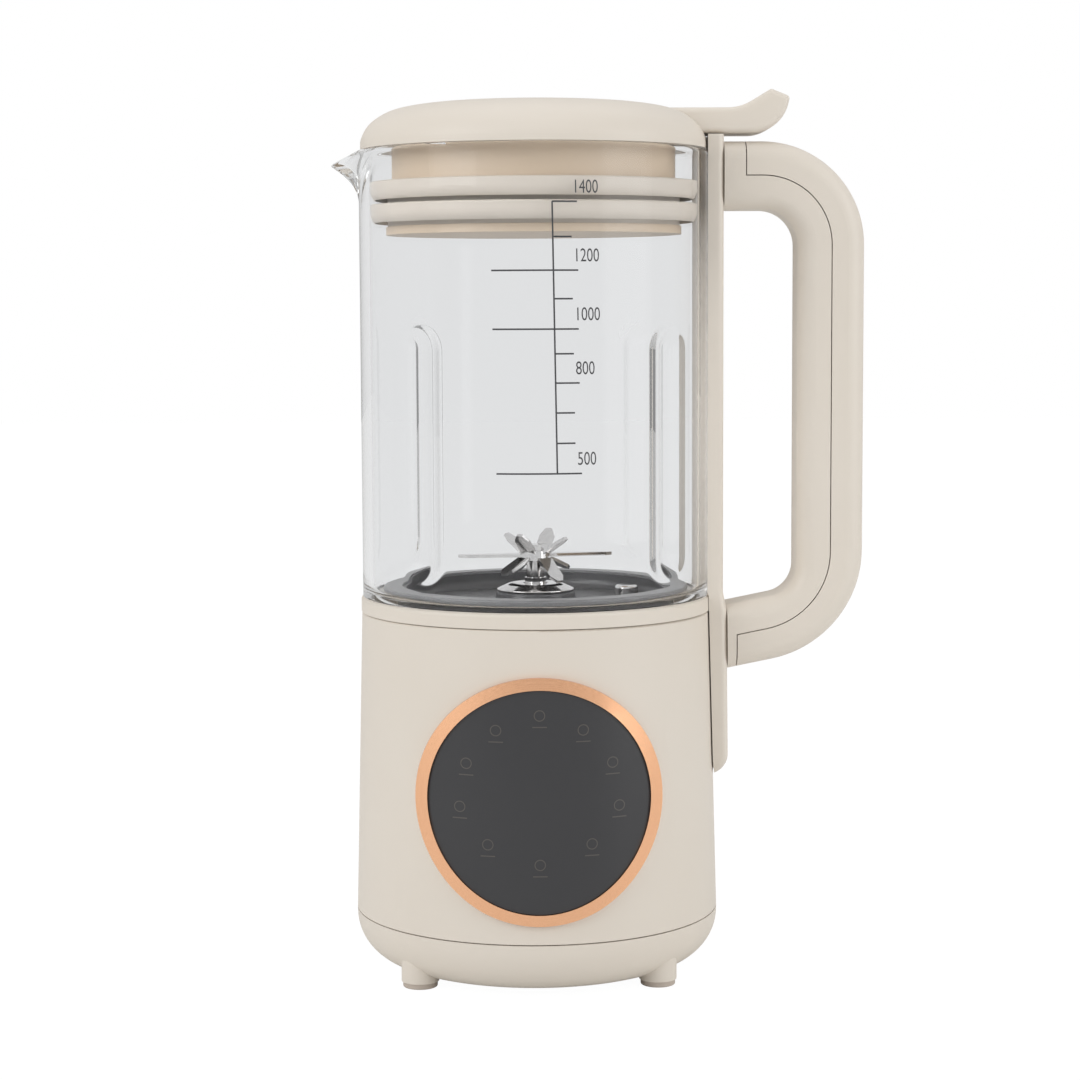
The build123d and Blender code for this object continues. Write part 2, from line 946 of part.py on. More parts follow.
def make_bearing(low):
    outer, width = bearing_radius, bearing_width
    inner_race = tube(shaft_radius + press_gap + race_width, shaft_radius + press_gap, low, low + width)
    outer_race = tube(outer, outer - race_width, low, low + width)
    shield = tube(
        outer - race_width / 2, shaft_radius + race_width / 2, low + shield_inset, low + width - shield_inset,
    )
    return inner_race + outer_race + shield


def make_motor_bearings():
    return make_bearing(lower_bearing_low) + make_bearing(upper_bearing_low)


def bracket_plate_shape(low):
    body = plate(motor_width, motor_depth, motor_corner, low, low + bracket_plate)
    for x, y in four_corners(1, 1):
        middle_x = x * (bracket_window_out - bracket_window / 4)
        middle_y = y * (bracket_window + bracket_window / 2)
        body -= drum(bracket_window / 2, low, low + bracket_plate, middle_x, middle_y)
    for x, y in four_corners(bolt_x, bolt_y):
        body -= drum(bolt_radius + fit_gap, low, low + bracket_plate, x, y)
    return body


def make_lower_bracket():
    low = lower_bracket_low
    pocket = bearing_radius + press_gap
    body = bracket_plate_shape(low)
    body += drum(pocket + pocket_wall, lower_bearing_low - pocket_floor, low + bracket_plate)
    body -= drum(pocket, lower_bearing_low - press_gap, low + bracket_plate)
    body -= drum(bearing_radius - race_width, 0, lower_bearing_low)
    for x, y in four_corners(bolt_x, bolt_y):
        body += tube(spacer_radius, bolt_radius + fit_gap, low + bracket_plate, core_low, x, y)
    return body


def make_upper_bracket():
    low = upper_bracket_low
    pocket = bearing_radius + press_gap
    top = upper_bearing_top + pocket_floor
    body = bracket_plate_shape(low)
    body += drum(pocket + pocket_wall, low, top)
    body -= drum(pocket, low - overrun, upper_bearing_top + press_gap)
    body -= drum(bearing_radius - race_width, low, top + overrun)
    for x, y in four_corners(mount_x, mount_y):
        body -= drum(grommet_radius - grommet_waist + fit_gap, low - overrun, low + bracket_plate, x, y)
    for x, y in four_corners(bolt_x, bolt_y):
        body += tube(spacer_radius, bolt_radius + fit_gap, core_top, low, x, y)
    return body


def make_grommets():
    grommets = Part()
    for x, y in four_corners(mount_x, mount_y):
        body = drum(grommet_radius, grommet_low, grommet_top, x, y)
        waist_low = upper_bracket_low - press_gap
        waist_high = upper_bracket_top + press_gap
        body -= tube(grommet_radius, grommet_radius - grommet_waist, waist_low, waist_high, x, y)
        grommets += body - drum(screw_radius + fit_gap, grommet_low, grommet_top, x, y)
    return grommets


def make_motor_screws():
    screws = Part()
    for x, y in four_corners(mount_x, mount_y):
        screws += screw(x, y, grommet_low - press_gap, grommet_top + mount_screw_hold)
    for x, y in four_corners(bolt_x, bolt_y):
        seat = upper_bracket_top + press_gap
        head = drum(bolt_head_radius, seat, seat + bolt_head_height, x, y)
        screws += head + drum(bolt_radius, lower_bracket_low - bolt_head_height, seat, x, y)
    return screws


def make_stator_core():
    bore = core_radius + air_gap
    shoe = bore + pole_shoe
    low, high = core_low + press_gap, core_top - press_gap
    body = plate(motor_width, motor_depth, motor_corner, low, high)
    window = motor_depth - 2 * yoke_wall_y
    body -= plate(motor_width - 2 * yoke_wall_x, window, yoke_wall_x / 3, low, high)
    shoes = tube(shoe, bore, low, high)
    reach = shoe * shoe_share
    poles = shoes & block(-reach, reach, -shoe, shoe, low, high)
    gap = block(-shoe, shoe, -bore / 2, bore / 2, low, high)
    body += poles - gap
    for side in (-1, 1):
        near, far = sorted((side * (bore + air_gap), side * (motor_depth - yoke_wall_y) / 2))
        body += block(-pole_neck_width / 2, pole_neck_width / 2, near, far, low, high)
    for x, y in four_corners(bolt_x, bolt_y):
        body -= drum(bolt_radius + fit_gap, low, high, x, y)
    return body


def make_field_coils():
    shoe = core_radius + air_gap + pole_shoe
    inner_x = shoe + coil_clear
    outer_x = inner_x + coil_leg
    low, high = core_low - coil_reach, core_top + coil_reach
    core_start, core_end = core_low - winding_gap, core_top + winding_gap
    window_y = motor_depth / 2 - yoke_wall_y - coil_clear
    far_y = motor_depth / 2 - yoke_wall_y / 2
    coils = Part()
    for side in (-1, 1):
        near, far = sorted((side * coil_low_y, side * far_y))
        coil = block(-outer_x, outer_x, near, far, low, high)
        coil = fillet(coil.edges().filter_by(Axis.Y), coil_edge)
        coil -= block(-inner_x, inner_x, near, far, core_start, core_end)
        near, far = sorted((side * window_y, side * (far_y + overrun)))
        coil -= block(-outer_x, outer_x, near, far, core_start, core_end)
        coils += coil - drum(shoe - pole_shoe / 2, low, high)
    return coils


def make_motor_shaft():
    body = drum(shaft_radius, shaft_low, deck_low - press_gap)
    return chamfer(body.edges().filter_by(GeomType.CIRCLE), shaft_edge)


def slotted_disc(radius, count, width, depth):
    # A round outline with the shaft's hole and straight slots in from its edge.
    slot = Rectangle(depth + overrun, width, align=(Align.MIN, Align.CENTER))
    slots = [Rot(Z=360 / count * step) * Pos(radius - depth, 0) * slot for step in range(count)]
    return Circle(radius) - Circle(shaft_radius + press_gap) - slots


def make_rotor_core():
    face = slotted_disc(core_radius, rotor_slot_count, rotor_slot_width, rotor_slot_depth)
    return Pos(0, 0, core_low) * extrude(face, core_length)


def make_rotor_windings():
    low, high = core_low - winding_gap, core_top + winding_gap
    bottom = tube(winding_radius, winding_inner, low - winding_length, low)
    top = tube(winding_radius, winding_inner, high, high + winding_length)
    start = core_radius - rotor_slot_depth + fit_gap
    bar = Rectangle(
        winding_radius - fit_gap - start, rotor_slot_width - 2 * fit_gap, align=(Align.MIN, Align.CENTER),
    )
    bars = Sketch()
    for step in range(rotor_slot_count):
        bars += Rot(Z=360 / rotor_slot_count * step) * Pos(start, 0) * bar
    return bottom + top + Pos(0, 0, low) * extrude(bars, high - low)


def make_commutator():
    face = slotted_disc(commutator_radius, bar_count, bar_slot, bar_slot_depth)
    return Pos(0, 0, commutator_low) * extrude(face, commutator_length - winding_length / 2)


def make_brushes(wall):
    # Carbon brushes, or with a wall the sleeves round them, one on each side of the commutator.
    low = commutator_low + commutator_gap / 2
    start = commutator_radius + brush_gap
    pair = Part()
    for angle in (0, 180):
        half_y = brush_width / 2
        if wall:
            half = half_y + fit_gap
            under, over = low - fit_gap, low + brush_height + fit_gap
            finish = start + brush_length + fit_gap
            end = finish + wall
            hole = block(0, finish, -half, half, under, over)
            outer = block(
                start + holder_inset, end, -half - wall, half + wall,
                lower_bracket_low + bracket_plate + press_gap, over + wall,
            )
            body = outer - hole
        else:
            body = block(start, start + brush_length, -half_y, half_y, low, low + brush_height)
        pair += Rot(Z=angle) * body
    return pair


def make_cooling_fan():
    low = fan_low
    body = drum(fan_radius, low, low + fan_plate) + drum(fan_hub_radius, low, low + fan_height)
    for step in range(fan_blade_count):
        half = fan_blade_width / 2
        start = fan_hub_radius + fan_plate
        blade = block(0, fan_radius - start, -half, half, low, low + fan_height - press_gap)
        blade = Pos(start, 0, 0) * Rot(Z=fan_blade_angle) * blade & drum(fan_radius, low, low + fan_height)
        body += Rot(Z=360 / fan_blade_count * step) * blade
    return body - drum(shaft_radius + press_gap, low, low + fan_height)


def star_outline(grow=0):
    # A round core with radial teeth; the socket's outline is the same one grown by the tooth gap.
    outline = Sketch() + Circle(star_radius + grow)
    for step in range(star_count):
        tooth = Rectangle(star_reach + grow, star_tooth + 2 * grow, align=(Align.MIN, Align.CENTER))
        outline += Rot(Z=360 / star_count * step) * tooth
    return outline & Circle(star_reach + grow)


def make_drive_coupling():
    body = drum(coupling_hub_radius, coupling_low, deck_low)
    body += Pos(0, 0, deck_low) * extrude(star_outline(), star_height)
    body -= drum(shaft_radius + press_gap, coupling_low, deck_low)
    edge = body.edges().group_by(Axis.Z)[0].filter_by(GeomType.CIRCLE).sort_by(SortBy.RADIUS)[-1]
    return chamfer(edge, coupling_gap / 2)


lower_bracket_low = lower_bearing_top - bracket_plate
pieces["motor_bearings"] = make_motor_bearings()
pieces["lower_bracket"] = make_lower_bracket()
pieces["upper_bracket"] = make_upper_bracket()
pieces["motor_grommets"] = make_grommets()
pieces["motor_screws"] = make_motor_screws()
pieces["stator_core"] = make_stator_core()
pieces["field_coils"] = make_field_coils()
pieces["brush_holders"] = make_brushes(brush_wall)
pieces["carbon_brushes"] = make_brushes(0)
pieces["motor_shaft"] = make_motor_shaft()
pieces["rotor_core"] = make_rotor_core()
pieces["rotor_windings"] = make_rotor_windings()
pieces["commutator"] = make_commutator()
pieces["cooling_fan"] = make_cooling_fan()
pieces["drive_coupling"] = make_drive_coupling()


# Connectors

def pin_places():
    return [((step - (pin_count - 1) / 2) * pin_pitch, plug_y) for step in range(pin_count)]


def make_base_connector():
    half_x, half_y = plug_width / 2, plug_depth / 2
    high = deck_top + plug_rise
    body = block(-half_x, half_x, plug_y - half_y, plug_y + half_y, deck_low - plug_root, high)
    wide = plug_flange_reach
    body += block(
        -half_x - wide, half_x + wide, plug_y - half_y - wide, plug_y + half_y + wide,
        deck_low - press_gap - plug_flange, deck_low - press_gap,
    )
    for x, y in pin_places():
        body -= drum(pin_radius + pin_clear, high - pin_length - pin_clear, high, x, y)
    return body


def make_jar_connector():
    high = deck_top + plug_rise + slide_gap
    half_x = plug_width / 2 + shroud_gap
    half_y = plug_depth / 2 + shroud_gap
    low = skirt_low + skirt_wall + press_gap
    body = block(
        -half_x - shroud_wall, half_x + shroud_wall, plug_y - half_y - shroud_wall,
        plug_y + half_y + shroud_wall, low, high + shroud_roof,
    )
    body -= block(-half_x, half_x, plug_y - half_y, plug_y + half_y, low, high)
    for x, y in pin_places():
        pin = drum(pin_radius, high - pin_length, high + shroud_roof / 2, x, y)
        body += pin
    return body


pieces["base_connector"] = make_base_connector()
pieces["jar_connector"] = make_jar_connector()


# Foot of the jar

def make_jar_collar():
    inner = collar_radius - collar_wall
    return turned(
        [
            (ledge_inner, collar_low),
            (collar_radius, collar_low),
            (collar_radius, collar_top),
            (inner, collar_top),
            (inner, ledge_top),
            (ledge_inner, ledge_top),
        ],
        [0, 0, collar_edge, 0, 0, 0],
    )


def make_jar_bottom_cover():
    inner = skirt_radius - skirt_wall
    flange_low = skirt_top - skirt_wall
    floor = skirt_low + skirt_wall
    body = turned(
        [
            (deck_hole_radius, skirt_low),
            (skirt_radius, skirt_low),
            (skirt_radius, flange_low),
            (skirt_flange_radius, flange_low),
            (skirt_flange_radius, skirt_top),
            (inner, skirt_top),
            (inner, floor),
            (deck_hole_radius, floor),
        ],
        [0, skirt_edge, 0, 0, 0, 0, 0, 0],
    )
    post_top = seat_flange_top - seat_flange - seat_gap
    for x, y in ring_places(jar_post_place, jar_post_count, jar_post_angle):
        body += drum(jar_post_radius, skirt_low, post_top, x, y)
        body -= drum(screw_radius + fit_gap, skirt_low, post_top, x, y)
        body -= drum(jar_screw_head + fit_gap, skirt_low, skirt_low + skirt_wall, x, y)
    half_x = plug_width / 2 + shroud_gap
    half_y = plug_depth / 2 + shroud_gap
    return body - block(-half_x, half_x, plug_y - half_y, plug_y + half_y, skirt_low, floor)


def make_jar_screws():
    screws = Part()
    tip = seat_flange_top - seat_gap
    for x, y in ring_places(jar_post_place, jar_post_count, jar_post_angle):
        screws += drum(jar_screw_head, skirt_low + press_gap, skirt_low + skirt_wall - press_gap, x, y)
        screws += drum(screw_radius, skirt_low + skirt_wall / 2, tip, x, y)
    return screws


pieces["jar_collar"] = make_jar_collar()
pieces["jar_bottom_cover"] = make_jar_bottom_cover()
pieces["jar_screws"] = make_jar_screws()


# Glass jar

def beak(reach, half, root_reach, root_half, low, high, tip_round, root_round):
    # A V-shaped spout that grows out of the wall towards the rim.
    back = glass_radius - glass_wall * 2
    top = FilletPolyline((-back, half), (-reach, 0), (-back, -half), radius=[0, tip_round, 0], close=True)
    root = FilletPolyline(
        (-back, root_half), (-root_reach, 0), (-back, -root_half), radius=[0, root_round, 0], close=True,
    )
    return loft([Pos(0, 0, low) * make_face(root), Pos(0, 0, high) * make_face(top)], ruled=True)


def rib_tools(radius):
    # Upright capsules that press the ribs into the wall.
    low = glass_low + rib_low + rib_radius
    high = low + rib_length - 2 * rib_radius
    tools = []
    for x, y in ring_places(glass_radius + rib_axis_out, rib_count, rib_turn_angle):
        capsule = drum(radius, low, high, x, y)
        capsule += Pos(x, y, low) * Sphere(radius)
        capsule += Pos(x, y, high) * Sphere(radius)
        tools.append(capsule)
    return tools


def make_glass_jar():
    shoulder = collar_top + glass_shoulder
    inner = glass_radius - glass_wall
    high = rim_height + overrun
    outside = turned(
        [
            (0, glass_low),
            (glass_foot_radius, glass_low),
            (glass_foot_radius, shoulder),
            (glass_radius, shoulder),
            (glass_radius, rim_height),
            (0, rim_height),
        ],
        [0, rim_round, 0, rim_round, 0, 0],
    )
    inside = turned(
        [(0, glass_floor_top), (inner, glass_floor_top), (inner, high), (0, high)],
        [0, glass_inner_round, 0, 0],
    )
    beak_low = rim_height - spout_drop
    outside += beak(
        glass_radius + spout_reach, spout_half, glass_radius - press_gap, spout_root_half, beak_low,
        rim_height, spout_round, spout_root_round,
    )
    reach = glass_radius + spout_reach - spout_wall * beak_wall_share
    inside += beak(
        reach, spout_half - spout_wall, inner, spout_root_half, beak_low + spout_wall, rim_height,
        spout_round - spout_wall / 2, spout_root_round,
    )
    for tool in rib_tools(rib_radius):
        outside -= tool
    for tool in rib_tools(rib_radius + glass_wall):
        inside -= tool
    body = outside - inside - drum(glass_floor_inner, 0, glass_floor_top + overrun)
    start = glass_radius - rim_round
    end = start + spout_reach * dip_run_share
    dip_outline = Polyline(
        (-start, rim_height), (-end, rim_height - spout_dip * dip_share), (-end, high), (-start, high),
        close=True,
    )
    dip = side_profile(dip_outline, spout_half)
    return body - dip


pieces["glass_jar"] = make_glass_jar()


# Heating bowl and what hangs under it

def make_heating_bowl():
    under_rim = bowl_rim_top - bowl_wall
    inner = bowl_radius - bowl_wall
    hump_under = hump_top - bowl_wall
    return turned(
        [
            (neck_hole_radius, hump_top),
            (hump_radius, hump_top),
            (hump_radius + hump_draft, bowl_floor_top),
            (inner, bowl_floor_top),
            (inner, bowl_rim_top),
            (bowl_rim_radius, bowl_rim_top),
            (bowl_rim_radius, under_rim),
            (bowl_radius, under_rim),
            (bowl_radius, bowl_under),
            (hump_radius + hump_draft - bowl_wall, bowl_under),
            (hump_radius - bowl_wall, hump_under),
            (neck_hole_radius, hump_under),
        ],
        [0, bowl_wall, bowl_wall, bowl_round - bowl_wall, 0, 0, 0, 0, bowl_round, 0, 0, 0],
    ) - drum(probe_stem_radius + fit_gap, bowl_under - overrun, bowl_floor_top + press_gap, *probe_spot)


def make_gasket():
    skirt_in = bowl_radius + fit_gap
    skirt_out = glass_floor_inner - fit_gap
    slot_low = bowl_rim_top - bowl_wall - press_gap
    slot_high = bowl_rim_top + press_gap
    slot_out = bowl_rim_radius + press_gap
    return turned(
        [
            (skirt_in, glass_low),
            (skirt_out, glass_low),
            (skirt_out, gasket_low),
            (gasket_outer, gasket_low),
            (gasket_outer, gasket_top),
            (gasket_inner, gasket_top),
            (gasket_inner, slot_high),
            (slot_out, slot_high),
            (slot_out, slot_low),
            (skirt_in, slot_low),
        ],
        [0, 0, 0, 0, gasket_lip, 0, 0, 0, 0, 0],
    )


def element_ring(radius, low_angle, sweep_angle):
    # A round-section ring about the axis, over part of a turn.
    section = Pos(element_place, 0, element_middle) * Rot(X=90) * Circle(radius)
    return Rot(Z=low_angle) * revolve(section, Axis.Z, sweep_angle)


def make_heat_plate():
    high = bowl_under - press_gap
    body = tube(heat_plate_outer, heat_plate_inner, high - heat_plate_thickness, high)
    body -= element_ring(element_radius + fit_gap, 0, 360)
    x, y = probe_spot
    return body - drum(probe_stem_radius + fit_gap, high - heat_plate_thickness, high, x, y)


def make_heating_element():
    first = element_gap_angle / 2
    body = element_ring(element_radius, first, 360 - element_gap_angle)
    for angle in (first, -first):
        x, y = polar(element_place, angle)
        body += drum(terminal_radius, element_middle - terminal_length, element_middle, x, y)
    return body


def make_probe():
    x, y = probe_spot
    seat = bowl_floor_top + press_gap
    cap = drum(probe_radius, seat, seat + probe_rise, x, y)
    cap = fillet(cap.edges().group_by(Axis.Z)[-1], probe_rise / 3)
    return cap + drum(probe_stem_radius, seat - probe_stem_length, seat, x, y)


def make_thermostat():
    x, y = polar(element_place, thermostat_angle)
    high = bowl_under - press_gap - heat_plate_thickness - press_gap
    disc = drum(thermostat_radius, high - thermostat_height, high, x, y)
    cap = drum(thermostat_radius / 2, high - thermostat_height - thermostat_cap, high, x, y)
    return disc + cap


probe_spot = polar(probe_place, probe_angle)
element_middle = bowl_under - press_gap - heat_plate_thickness - element_radius + element_sink
pieces["heating_bowl"] = make_heating_bowl()
pieces["jar_gasket"] = make_gasket()
pieces["heat_plate"] = make_heat_plate()
pieces["heating_element"] = make_heating_element()
pieces["temperature_probe"] = make_probe()
pieces["thermostat"] = make_thermostat()


# Bearing seat through the bowl, with its nut, bush and seal

def make_bearing_seat():
    flange_low = seat_flange_top - seat_flange
    neck_top = hump_top + seat_neck_rise
    pocket = bearing_radius + press_gap
    bore = bush_radius + press_gap
    body = drum(seat_body_radius, seat_low, seat_flange_top)
    body += drum(seat_flange_radius, flange_low, seat_flange_top)
    body += drum(seat_neck_radius, seat_flange_top, neck_top)
    body -= drum(pocket, seat_low, jar_bearing_top + press_gap)
    body -= drum(bore, seat_low, neck_top)
    for x, y in ring_places(jar_post_place, jar_post_count, jar_post_angle):
        body -= drum(screw_radius + press_gap, flange_low, seat_flange_top, x, y)
    return body


def make_shaft_bush():
    low = jar_bearing_top + press_gap * 2
    return tube(bush_radius, shaft_radius + press_gap, low, low + bush_length)


def make_shaft_seal():
    high = hump_top + seat_neck_rise
    return tube(bush_radius, shaft_radius + seal_clear, high - seal_height, high)


def make_seat_nut():
    hole = shaft_radius + seal_clear
    roof = nut_top - nut_edge
    body = turned(
        [
            (hole, nut_low),
            (nut_radius, nut_low),
            (nut_radius, nut_low + nut_edge),
            (nut_top_radius + nut_dome, nut_top),
            (hole, nut_top),
        ],
        [0, 0, nut_edge / 2, nut_crown_round, 0],
    )
    body -= drum(seat_neck_radius + press_gap, 0, roof)
    slot_face = SlotArc(
        CenterArc((0, 0), nut_slot_radius, -nut_slot_angle / 2, nut_slot_angle), nut_slot_width,
    )
    slot = Pos(0, 0, nut_low) * extrude(slot_face, nut_top - nut_low)
    for step in range(nut_slot_count):
        body -= Rot(Z=360 / nut_slot_count * step + 180 / nut_slot_count) * slot
    return body


bush_radius = shaft_radius + bush_wall
jar_bearing_low = seat_low + driven_gap
jar_bearing_top = jar_bearing_low + bearing_width
pieces["bearing_seat"] = make_bearing_seat()
pieces["jar_bearing"] = make_bearing(jar_bearing_low)
pieces["shaft_bush"] = make_shaft_bush()
pieces["shaft_seal"] = make_shaft_seal()
pieces["seat_nut"] = make_seat_nut()


# Blades and their shaft

def make_blade_shaft():
    body = drum(shaft_radius, driven_recess_top + press_gap, sleeve_low)
    return body + drum(spindle_radius, sleeve_low, blade_low + 3 * blade_thickness + blade_nut_height / 2)


def make_blade_sleeve():
    body = drum(sleeve_collar_radius, sleeve_low, sleeve_low + sleeve_collar)
    body += drum(sleeve_radius, sleeve_low, blade_low)
    return body - drum(spindle_radius + press_gap, sleeve_low, blade_low)


def wing(length, width, tip_share):
    # One flat wing along +X with a slanted tip, from the bend outward.
    half = width / 2
    outline = Polyline(
        (0, -half), (length * tip_share, -half), (length, -half / 3), (length, half / 2),
        (length * tip_share, half), (0, half), close=True,
    )
    return extrude(make_face(outline), blade_thickness)


def bent_blade(level, length, width, tip_share, turn_angle, bend_angles):
    body = drum(blade_hub_radius, level, level + blade_thickness)
    for step, bend_angle in enumerate(bend_angles):
        arm = wing(length, width, tip_share)
        arm = Pos(wing_root, 0, level) * Rot(Y=-bend_angle) * arm
        body += Rot(Z=turn_angle + 360 / wing_count * step) * arm
    return body - drum(spindle_radius + press_gap, level, level + blade_thickness)


def make_long_blade(level):
    root = long_blade_root / 2
    tip = long_blade_tip / 2
    start = long_blade_reach * long_blade_point_share
    outline = Polyline((0, -root), (start, -tip), (long_blade_reach, 0), (start, tip), (0, root), close=True)
    arm = extrude(make_face(outline), blade_thickness)
    front_edge = arm.edges().filter_by(Plane.XY).group_by(Axis.Z)[-1].sort_by(Axis.Y)[:1]
    arm = chamfer(front_edge, blade_thickness * blade_bevel_share)
    body = drum(blade_hub_radius, 0, blade_thickness)
    for turn in (0, 180):
        body += Rot(Z=turn) * arm
    body -= drum(spindle_radius + press_gap, 0, blade_thickness)
    return Pos(0, 0, level) * Rot(Z=long_blade_angle) * body


def make_blade_nut():
    low = blade_low + 3 * blade_thickness
    body = Pos(0, 0, low) * extrude(RegularPolygon(blade_nut_radius, 6), blade_nut_height)
    return body - drum(spindle_radius + press_gap, low, low + blade_nut_height / 2 + press_gap)


def make_driven_coupling():
    body = drum(driven_radius, driven_low, driven_top)
    socket = extrude(star_outline(tooth_gap), driven_recess_top - driven_low)
    body -= Pos(0, 0, driven_low) * socket
    body -= drum(shaft_radius + press_gap, driven_low, driven_top)
    rim = body.edges().group_by(Axis.Z)[0].filter_by(GeomType.CIRCLE).sort_by(SortBy.RADIUS)[-1]
    return chamfer(rim, tooth_gap)


pieces["blade_shaft"] = make_blade_shaft()
pieces["blade_sleeve"] = make_blade_sleeve()
pieces["lower_blade"] = bent_blade(
    blade_low, lower_wing_length, lower_wing_width, lower_tip_share, lower_turn_angle,
    [-angle for angle in lower_wing_drop_angles],
)
pieces["long_blade"] = make_long_blade(blade_low + blade_thickness)
pieces["upper_blade"] = bent_blade(
    blade_low + 2 * blade_thickness, upper_wing_length, upper_wing_width, upper_tip_share,
    upper_turn_angle, upper_wing_lift_angles,
)
pieces["blade_nut"] = make_blade_nut()
pieces["driven_coupling"] = make_driven_coupling()


# Spine and handle

def spine_edge_points(out=0):
    # The spine's outer edge seen from the front: straight on the glass, thicker on the tongue.
    upper = glass_radius + spine_out + out
    lower = upper + tongue_out
    return [
        (upper, spine_high + out),
        (upper, collar_top + collar_edge),
        (lower, collar_low),
        (lower + tongue_flare, tongue_low),
    ]


def make_spine():
    points = spine_edge_points()
    back = glass_radius / 2
    outline = Polyline((back, spine_high), *points, (back, tongue_low), close=True)
    body = side_profile(outline, spine_half)
    outer_faces = body.faces().filter_by(lambda face: face.center().X > glass_radius + spine_out / 2)
    long_edges = outer_faces.edges().filter_by(lambda edge: abs(edge.center().Y) > spine_half / 2)
    body = fillet(long_edges, spine_edge)
    low_edges = body.edges().filter_by(Axis.X).group_by(Axis.Z)[0]
    body = fillet(low_edges, tongue_round)
    glass_side = glass_radius + spine_gap
    collar_side = collar_radius + fit_gap
    body -= turned([
        (0, tongue_low - overrun),
        (case_radius(tongue_low - overrun, tongue_gap), tongue_low - overrun),
        (case_radius(case_top, tongue_gap), case_top),
        (collar_side, collar_low),
        (collar_side, collar_top),
        (glass_side, collar_top + collar_edge),
        (glass_side, spine_high + overrun),
        (0, spine_high + overrun),
    ])
    for height in handle_screw_heights():
        far = handle_root(height) + handle_wall
        body -= cross_rod(handle_screw_radius + press_gap, glass_side, far, height)
    return body


def cross_rod(radius, near, far, height):
    # A rod along X at a height.
    upright = (Align.CENTER, Align.CENTER, Align.MIN)
    return Pos(near, 0, height) * Rot(Y=90) * Cylinder(radius, far - near, align=upright)


def handle_root(height):
    # Where the handle meets the spine at a height.
    upper = glass_radius + spine_out
    if height > collar_top:
        return upper
    share = (collar_low - height) / (collar_low - tongue_low)
    return upper + tongue_out + tongue_flare * share


def handle_screw_heights():
    return (handle_high - handle_arm / 2, handle_low + handle_low_arm / 2)


def sloped(x, height):
    # Height on the lower arm's slanted lines, given the height at the arm's root.
    return height + (x - handle_start) * handle_slope_share


def handle_outline(inset=0):
    # Outer edge of the handle seen from the front.
    left = handle_start - overrun
    right = handle_out - inset
    high = handle_high - inset
    low = handle_low + inset
    return FilletPolyline(
        (left, high), (right, high), (right, sloped(right, low)), (left, sloped(left, low)),
        radius=[0, handle_outer_round - inset, handle_low_round - inset, 0], close=True,
    )


def handle_hole(inset=0):
    # Edge of the space for the fingers.
    left = handle_start - overrun
    right = handle_out - handle_thickness + inset
    high = handle_high - handle_arm + inset
    low = handle_low + handle_low_arm - inset
    return FilletPolyline(
        (left, high), (right, high), (right, sloped(right, low)), (left, sloped(left, low)),
        radius=[0, handle_inner_round + inset, handle_low_inner_round + inset, 0], close=True,
    )


def split_region(grow=0):
    # The outer half of the loop, beyond the seam that runs along the middle of its thickness.
    left_high = handle_start + handle_split_start - grow
    left_low = handle_start + handle_low_split_start - grow
    depth = handle_thickness / 2 + grow
    right = handle_out - depth
    high = handle_high - depth
    low = handle_low + depth
    far = handle_out + overrun
    top = handle_high + overrun
    bottom = handle_low - overrun
    return FilletPolyline(
        (left_high, top), (left_high, high), (right, high), (right, sloped(right, low)),
        (left_low, sloped(left_low, low)), (left_low, bottom), (far, bottom), (far, top),
        radius=[0, 0, handle_outer_round - depth, handle_low_round - depth, 0, 0, 0, 0], close=True,
    )


def spine_side(out):
    # Everything on the spine's side of its outer edge, moved outward by a clearance or wall.
    points = spine_edge_points(out)
    low = tongue_low - overrun
    return side_profile(
        Polyline((0, spine_high + out), *points, (points[-1][0], low), (0, low), close=True), handle_half * 2,
    )


def make_handle_shells():
    body = side_profile(handle_outline(), handle_half) - side_profile(handle_hole(), handle_half)
    rims = body.faces().filter_by(Plane.XZ).edges()
    rims = rims.filter_by(lambda edge: edge.center().X > handle_start - overrun / 2)
    body = fillet(rims, handle_edge)
    body -= spine_side(fit_gap)
    hollow_half = handle_half - handle_wall
    hollow = side_profile(handle_outline(handle_wall), hollow_half)
    hollow -= side_profile(handle_hole(handle_wall), hollow_half)
    hollow -= spine_side(handle_wall)
    body -= hollow
    outer = body & side_profile(split_region(), handle_half * 2)
    inner = body - side_profile(split_region(handle_split), handle_half * 2)
    for height in handle_screw_heights():
        root = handle_root(height)
        far = root + handle_wall + overrun
        inner -= cross_rod(handle_screw_radius + fit_gap, root - overrun, far, height)
    return inner, outer


def make_handle_screws():
    screws = Part()
    for height in handle_screw_heights():
        seat = handle_root(height) + handle_wall + press_gap
        shank = cross_rod(handle_screw_radius, seat - handle_screw_length, seat, height)
        screws += shank + cross_rod(handle_screw_head, seat, seat + handle_screw_radius, height)
    return screws


def make_lid_sensor():
    x = handle_start + handle_wall * 2
    high = handle_high - handle_wall - press_gap
    half = sensor_length / 2
    body = block(x, x + sensor_width, -half, half, high - sensor_height, high)
    return fillet(body.edges().filter_by(Axis.Y), sensor_edge)


tongue_low = case_top - tongue_length + seat_gap
handle_start = glass_radius + spine_out
handle_out = glass_radius + handle_reach
handle_low = collar_low - handle_low_drop
pieces["handle_spine"] = make_spine()
pieces["handle_inner"], pieces["handle_outer"] = make_handle_shells()
pieces["jar_screws"] += make_handle_screws()
pieces["lid_sensor"] = make_lid_sensor()


# Lid

def dome(radius, height, low):
    # The crowned lid form, from shares of its radius and height.
    points = [(radius * across, low + height * up) for across, up in dome_shares]
    crown = Spline(*points, tangents=[(1, 0), (0, -1)])
    side = Polyline(points[-1], (radius, low), (0, low), points[0])
    return revolve(Plane.XZ * make_face(crown + side), Axis.Z)


